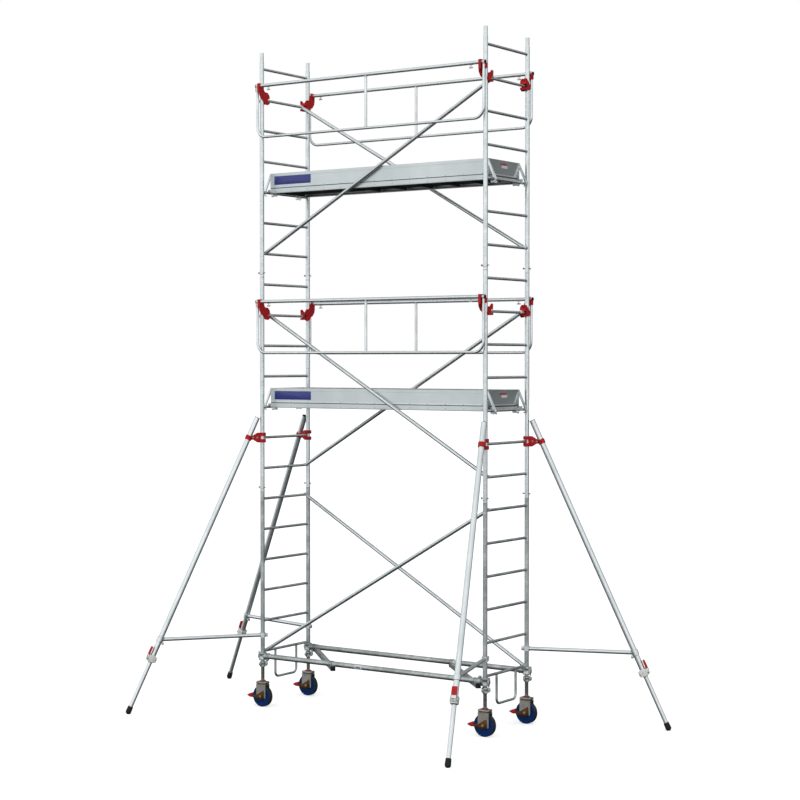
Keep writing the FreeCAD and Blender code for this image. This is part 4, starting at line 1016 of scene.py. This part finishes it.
def make_strut_fittings(corner):
    """The collar's ears at the standard with a wing nut, the ring's at the leg, and welds."""
    shape = Shape(corner_place(corner, turned=True))
    collar, ring = move(0, 0, STRUT_Z), leg_axes(RING_CENTRE)
    for side in SIDES:
        ear = collar @ across(-0.035, side * 0.0075, 0, side)
        shape.plate(COLLAR_EAR, 0.006, 0.0045, ear, soft=0.0008)
    add_wing_nut(shape, collar @ axes(Vector((-0.038, 0.01, 0)), Y_AXIS, Z_AXIS))
    shape.nut(0.013, 0.006, collar @ across(-0.038, -0.01, 0, -1))
    weld_ring(shape, collar @ axes(Vector((0.0285, 0, 0)), X_AXIS, Z_AXIS), 0.0175)
    for side in SIDES:
        ear = ring @ across(-0.036, side * 0.0075, 0.024, side)
        shape.plate(RING_EAR, 0.005, 0.0045, ear, soft=0.0008)
    for side in (1, -1):
        shape.nut(0.013, 0.006, ring @ across(-0.038, side * 0.0098, 0.024, side))
    for way in SIDES:
        weld_ring(shape, ring @ axes(Vector((0, 0, way * 0.022)), Z_AXIS * way, X_AXIS), 0.0255)
    weld_ring(shape, axes(RING_CENTRE - X_AXIS * 0.0385, -X_AXIS, Z_AXIS), 0.0175)
    shape.piece(f"strut_fittings_{corner}", "galvanised_steel", f"arm_{corner}")


LOCK_CHEEK = mm((-31, -44), (34, -44), (40, -20), (34, 21), (-31, 21))
LOCK_LIP = mm((30, -1.5), (33, 0), (33, 4), (30, 5.5))
LOCK_PIN = mm((0, 0), (6.5, 0), (5.2, 1.4), (0, 1.4))
WIPER = mm((19.7, 19.5), (25, 19.5), (26.2, 21.5), (22.5, 26.2), (19.7, 27))
LEG_CAP = mm((22.8, -4), (25.3, 0), (25.3, 2.2), (21.5, 4.5), (0, 5.2), (0, -4))


def make_lock_details(corner):
    """The bright lock body pressed round the sleeve, its screws, and black plugs on the tube."""
    place, arm = corner_place(corner, turned=True), f"arm_{corner}"
    lock, pivot = leg_axes(ARM_END), leg_axes(LEVER_PIVOT)
    body, screws, plugs = Shape(place), Shape(place), Shape(place)
    for side in SIDES:
        body.plate(LOCK_CHEEK, 0.008, 0.003, lock @ across(0, side * 0.0295, 0, -1), soft=0.0009)
        screws.nut(0.012, 0.0045, pivot @ across(0, side * 0.0265, 0, side))
        screws.nut(0.013, 0.005, lock @ across(-0.036, side * 0.013, -0.006, side))
    for z in (-0.0275, 0.0165):
        body.ring([(radius, z + down) for radius, down in LOCK_LIP], lock, 40)
    body.block((0.003, 0.056, 0.034), lock @ move(0.0335, 0, 0.003), soft=0.0009)
    screws.lathe(LOCK_PIN, lock @ axes(Vector((0.035, 0, 0.004)), X_AXIS, Y_AXIS), 20)
    body.piece(f"lock_body_{corner}", "lock_white", arm)
    screws.piece(f"lock_screws_{corner}", "steel_screw", arm)
    plugs.ring(WIPER, lock, 36)
    plugs.lathe(LEG_CAP, leg_axes(LEG_TOP) @ Matrix.Rotation(math.pi, 4, "X"), 32)
    plugs.piece(f"leg_plugs_{corner}", "cap_black", arm)


LEVER_CHEEK = mm((-5.5, -41), (10.5, -41), (10.5, -14), (7.5, 8.5), (-5.5, 8.5))
LEVER_GRIP = mm((-4.5, -117), (5.5, -117), (9.8, -104), (10, -37), (-4.8, -37))


def make_lock_lever(corner):
    """The channel-shaped steel lever and its ribbed red grip."""
    body = f"lever_{corner}"
    place = corner_place(corner, turned=True) @ leg_axes(LEVER_PIVOT)
    steel, grip = Shape(place), Shape(place)
    for side in SIDES:
        steel.plate(LEVER_CHEEK, 0.004, 0.0036, across(0, side * 0.02, 0, -1), soft=0.0006)
    steel.block((0.0036, 0.043, 0.024), move(0.009, 0, -0.029), soft=0.0008)
    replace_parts(steel.piece(f"lever_arm_{corner}", "bright_tube", body), f"lock_lever_{corner}")
    grip.plate(LEVER_GRIP, 0.005, 0.048, across(0, 0, 0, -1), soft=0.003)
    for index in range(6):
        grip.block((0.0022, 0.037, 0.003), move(0.0099, 0, -0.1 + 0.009 * index), soft=0.0008)
    grip.piece(f"lever_grip_{corner}", "lever_red", body)


FOOT_CUP = mm(
    (19.2, -50), (22.2, -50), (23.8, -48), (25.2, -20), (26.8, 0), (25.4, 9), (21.8, 15.8), (17, 20.8),
    (10, 25), (0, 26.8), (0, -10), (19.2, -14),
)
FOOT_RINGS = ((-0.04, 0.024), (-0.029, 0.0246), (-0.018, 0.0252))
FOOT_RING = mm((-2, -3), (1.2, -1.5), (1.2, 1.5), (-2, 3))


def make_foot(corner):
    """The rubber foot: a short tapered cup with raised rings, worn flat where it stands."""
    shape = Shape(corner_place(corner, turned=True))
    foot, mesh = leg_axes(FOOT), shape.mesh
    shape.lathe(FOOT_CUP, foot, 40)
    cup = mesh.verts[:] + mesh.edges[:] + mesh.faces[:]
    cut = bmesh.ops.bisect_plane(mesh, geom=cup, plane_co=(0, 0, 0), plane_no=-Z_AXIS, clear_outer=True)
    rim = [item for item in cut["geom_cut"] if isinstance(item, bmesh.types.BMEdge)]
    bmesh.ops.holes_fill(mesh, edges=rim)
    for z, radius in FOOT_RINGS:
        shape.ring([(radius + out, z + down) for out, down in FOOT_RING], foot, 40)
    rubber_foot = shape.piece(f"foot_{corner}", "rubber_black", f"leg_{corner}")
    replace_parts(rubber_foot, f"stabiliser_foot_{corner}")


def make_clamp_details(corner):
    """The clamp's through bolts and washers at the tube and at the standard."""
    shape = Shape(corner_place(corner, turned=True))
    for side in SIDES:
        for x in (0.052, STRAP_CENTRE.x - 0.04):
            bolt = across(x, side * 0.0115, STRAP_Z, side)
            shape.lathe(band(0, 0.0085, 0, 0.0016), bolt, 20)
            shape.nut(0.012, 0.0055, bolt)
    shape.piece(f"clamp_bolts_{corner}", "zinc_plate", f"arm_{corner}")


# ---- camera, floor and light

CAMERA_PLACE = (9.602, -13.378, 3.236)
CAMERA_PITCH, CAMERA_HEADING = 88.78, 34.58
SENSOR_MM, LENS_MM = 36, 82.8
FAR_CLIP = 500

FLOOR_HALF = 120
FLOOR_LIGHT, FLOOR_DARK = (0.93,) * 3, (0.91,) * 3
FLOOR_GLOW = 0.5

KEY_AZIMUTH, KEY_ELEVATION = -85, 55
KEY_STRENGTH, KEY_SPREAD = 0.4, 80
SOFTBOX_AZIMUTH, SOFTBOX_ELEVATION = -80, 42
SKY_STRENGTH = 1.32

# Brightness by the sine of the height, and by the cosine of the angle from the softbox
SKY_BY_HEIGHT = (
    (-1, 0.04), (-0.4, 0.08), (-0.17, 0.36), (-0.04, 0.88), (0.1, 1), (0.4, 0.66), (1, 0.44)
)
SKY_BY_SIDE = ((-1, 0.18), (-0.5, 0.19), (-0.15, 0.52), (0.1, 0.9), (0.5, 1), (1, 1))


def make_camera():
    data = bpy.data.cameras.new("camera")
    camera = bpy.data.objects.new("camera", data)
    camera.location = CAMERA_PLACE
    camera.rotation_euler = (math.radians(CAMERA_PITCH), 0, math.radians(CAMERA_HEADING))
    data.sensor_width = SENSOR_MM
    data.lens = LENS_MM
    data.clip_end = FAR_CLIP
    bpy.context.scene.collection.objects.link(camera)
    bpy.context.scene.camera = camera


def make_floor():
    """A wide pale floor. Reflections see the studio's dark lower half instead of it."""
    mesh = bpy.data.meshes.new("floor")
    corners = [(x, y, 0) for x, y in rectangle(2 * FLOOR_HALF, 2 * FLOOR_HALF)]
    mesh.from_pydata(corners, [], [(0, 1, 2, 3)])
    floor = bpy.data.objects.new("floor", mesh)
    finish = Finish("floor_paint", FLOOR_LIGHT, 0, 0.9)
    paint = finish.mix(finish.noise(0.8, 2), FLOOR_LIGHT, FLOOR_DARK)
    finish.feed(finish.inputs["Base Color"], paint)
    finish.inputs["Emission Color"].default_value = (1, 1, 1, 1)
    finish.inputs["Emission Strength"].default_value = FLOOR_GLOW
    mesh.materials.append(finish.material)
    floor.visible_glossy = False
    floor.visible_diffuse = False
    bpy.context.scene.collection.objects.link(floor)


def brightness(studio, value, stops):
    """A nearly grey ramp over a value from -1 to 1."""
    spread = studio.node("MapRange", {"Value": value, "From Min": -1, "From Max": 1})
    levels = [((place + 1) / 2, (level * 0.985, level, level * 1.01)) for place, level in stops]
    return studio.ramp(spread.outputs["Result"], levels)


def make_world():
    """A studio, white behind the object, that grows lighter upwards and towards one big softbox."""
    world = bpy.data.worlds.new("studio")
    bpy.context.scene.world = world
    world.use_nodes = True
    world.node_tree.nodes.clear()
    studio = Graph(world.node_tree)
    direction = studio.node("TexCoord", {}).outputs["Generated"]
    up = studio.node("SeparateXYZ", {"Vector": direction}).outputs["Z"]
    softbox = {0: direction, 1: from_sky(SOFTBOX_AZIMUTH, SOFTBOX_ELEVATION)}
    beside = studio.node("VectorMath", softbox, operation="DOT_PRODUCT").outputs["Value"]
    by_height = brightness(studio, up, SKY_BY_HEIGHT)
    by_side = brightness(studio, beside, SKY_BY_SIDE)
    sky = {"Color": studio.mix(1, by_height, by_side, "MULTIPLY"), "Strength": SKY_STRENGTH}
    lighting = studio.node("Background", sky).outputs["Background"]
    backdrop = studio.node("Background", {"Color": (1, 1, 1, 1)}).outputs["Background"]
    seen = studio.node("LightPath", {}).outputs["Is Camera Ray"]
    chooser = studio.node("MixShader", {"Fac": seen, 1: lighting, 2: backdrop})
    studio.node("OutputWorld", {"Surface": chooser.outputs["Shader"]})


def from_sky(azimuth, elevation):
    """The unit vector towards a direction: azimuth anticlockwise from +X, both in degrees."""
    a, e = math.radians(azimuth), math.radians(elevation)
    return Vector((math.cos(a) * math.cos(e), math.sin(a) * math.cos(e), math.sin(e)))


def make_key_light():
    """A soft far light from a direction."""
    data = bpy.data.lights.new("key_light", "SUN")
    data.energy = KEY_STRENGTH
    data.angle = math.radians(KEY_SPREAD)
    sun = bpy.data.objects.new("key_light", data)
    sun.rotation_mode = "QUATERNION"
    sun.rotation_quaternion = from_sky(KEY_AZIMUTH, KEY_ELEVATION).to_track_quat("Z", "Y")
    bpy.context.scene.collection.objects.link(sun)


# ---- the whole scene

make_camera()
make_floor()
make_world()
make_key_light()
bpy.context.scene.view_settings.view_transform = "Standard"
dress_cad_nodes()
dress_platforms()
dress_toe_boards()
make_rung_welds()
make_joint_details()
make_plan_brace_details()
make_base_sticker()
make_guardrail_details()
make_toe_board_details()
make_plates_and_labels()
make_platform_details()
make_deck_details()
for hatch_level in PLATFORM_RUNGS:
    make_hatch_details(hatch_level)

CORNER_PIECES = (
    make_base_coupler, make_leg_screw, make_jack_nut, make_brake, make_castor_details,
    make_strut_fittings, make_lock_details, make_lock_lever, make_foot, make_clamp_details,
)
for corner_name in CORNERS:
    for make_piece in CORNER_PIECES:
        make_piece(corner_name)
    round_edges(f"stabiliser_clamp_{corner_name}", 0.0022)
    round_edges(f"castor_fork_{corner_name}", 0.0008)
round_edges("guardrail_hooks", 0.0016)
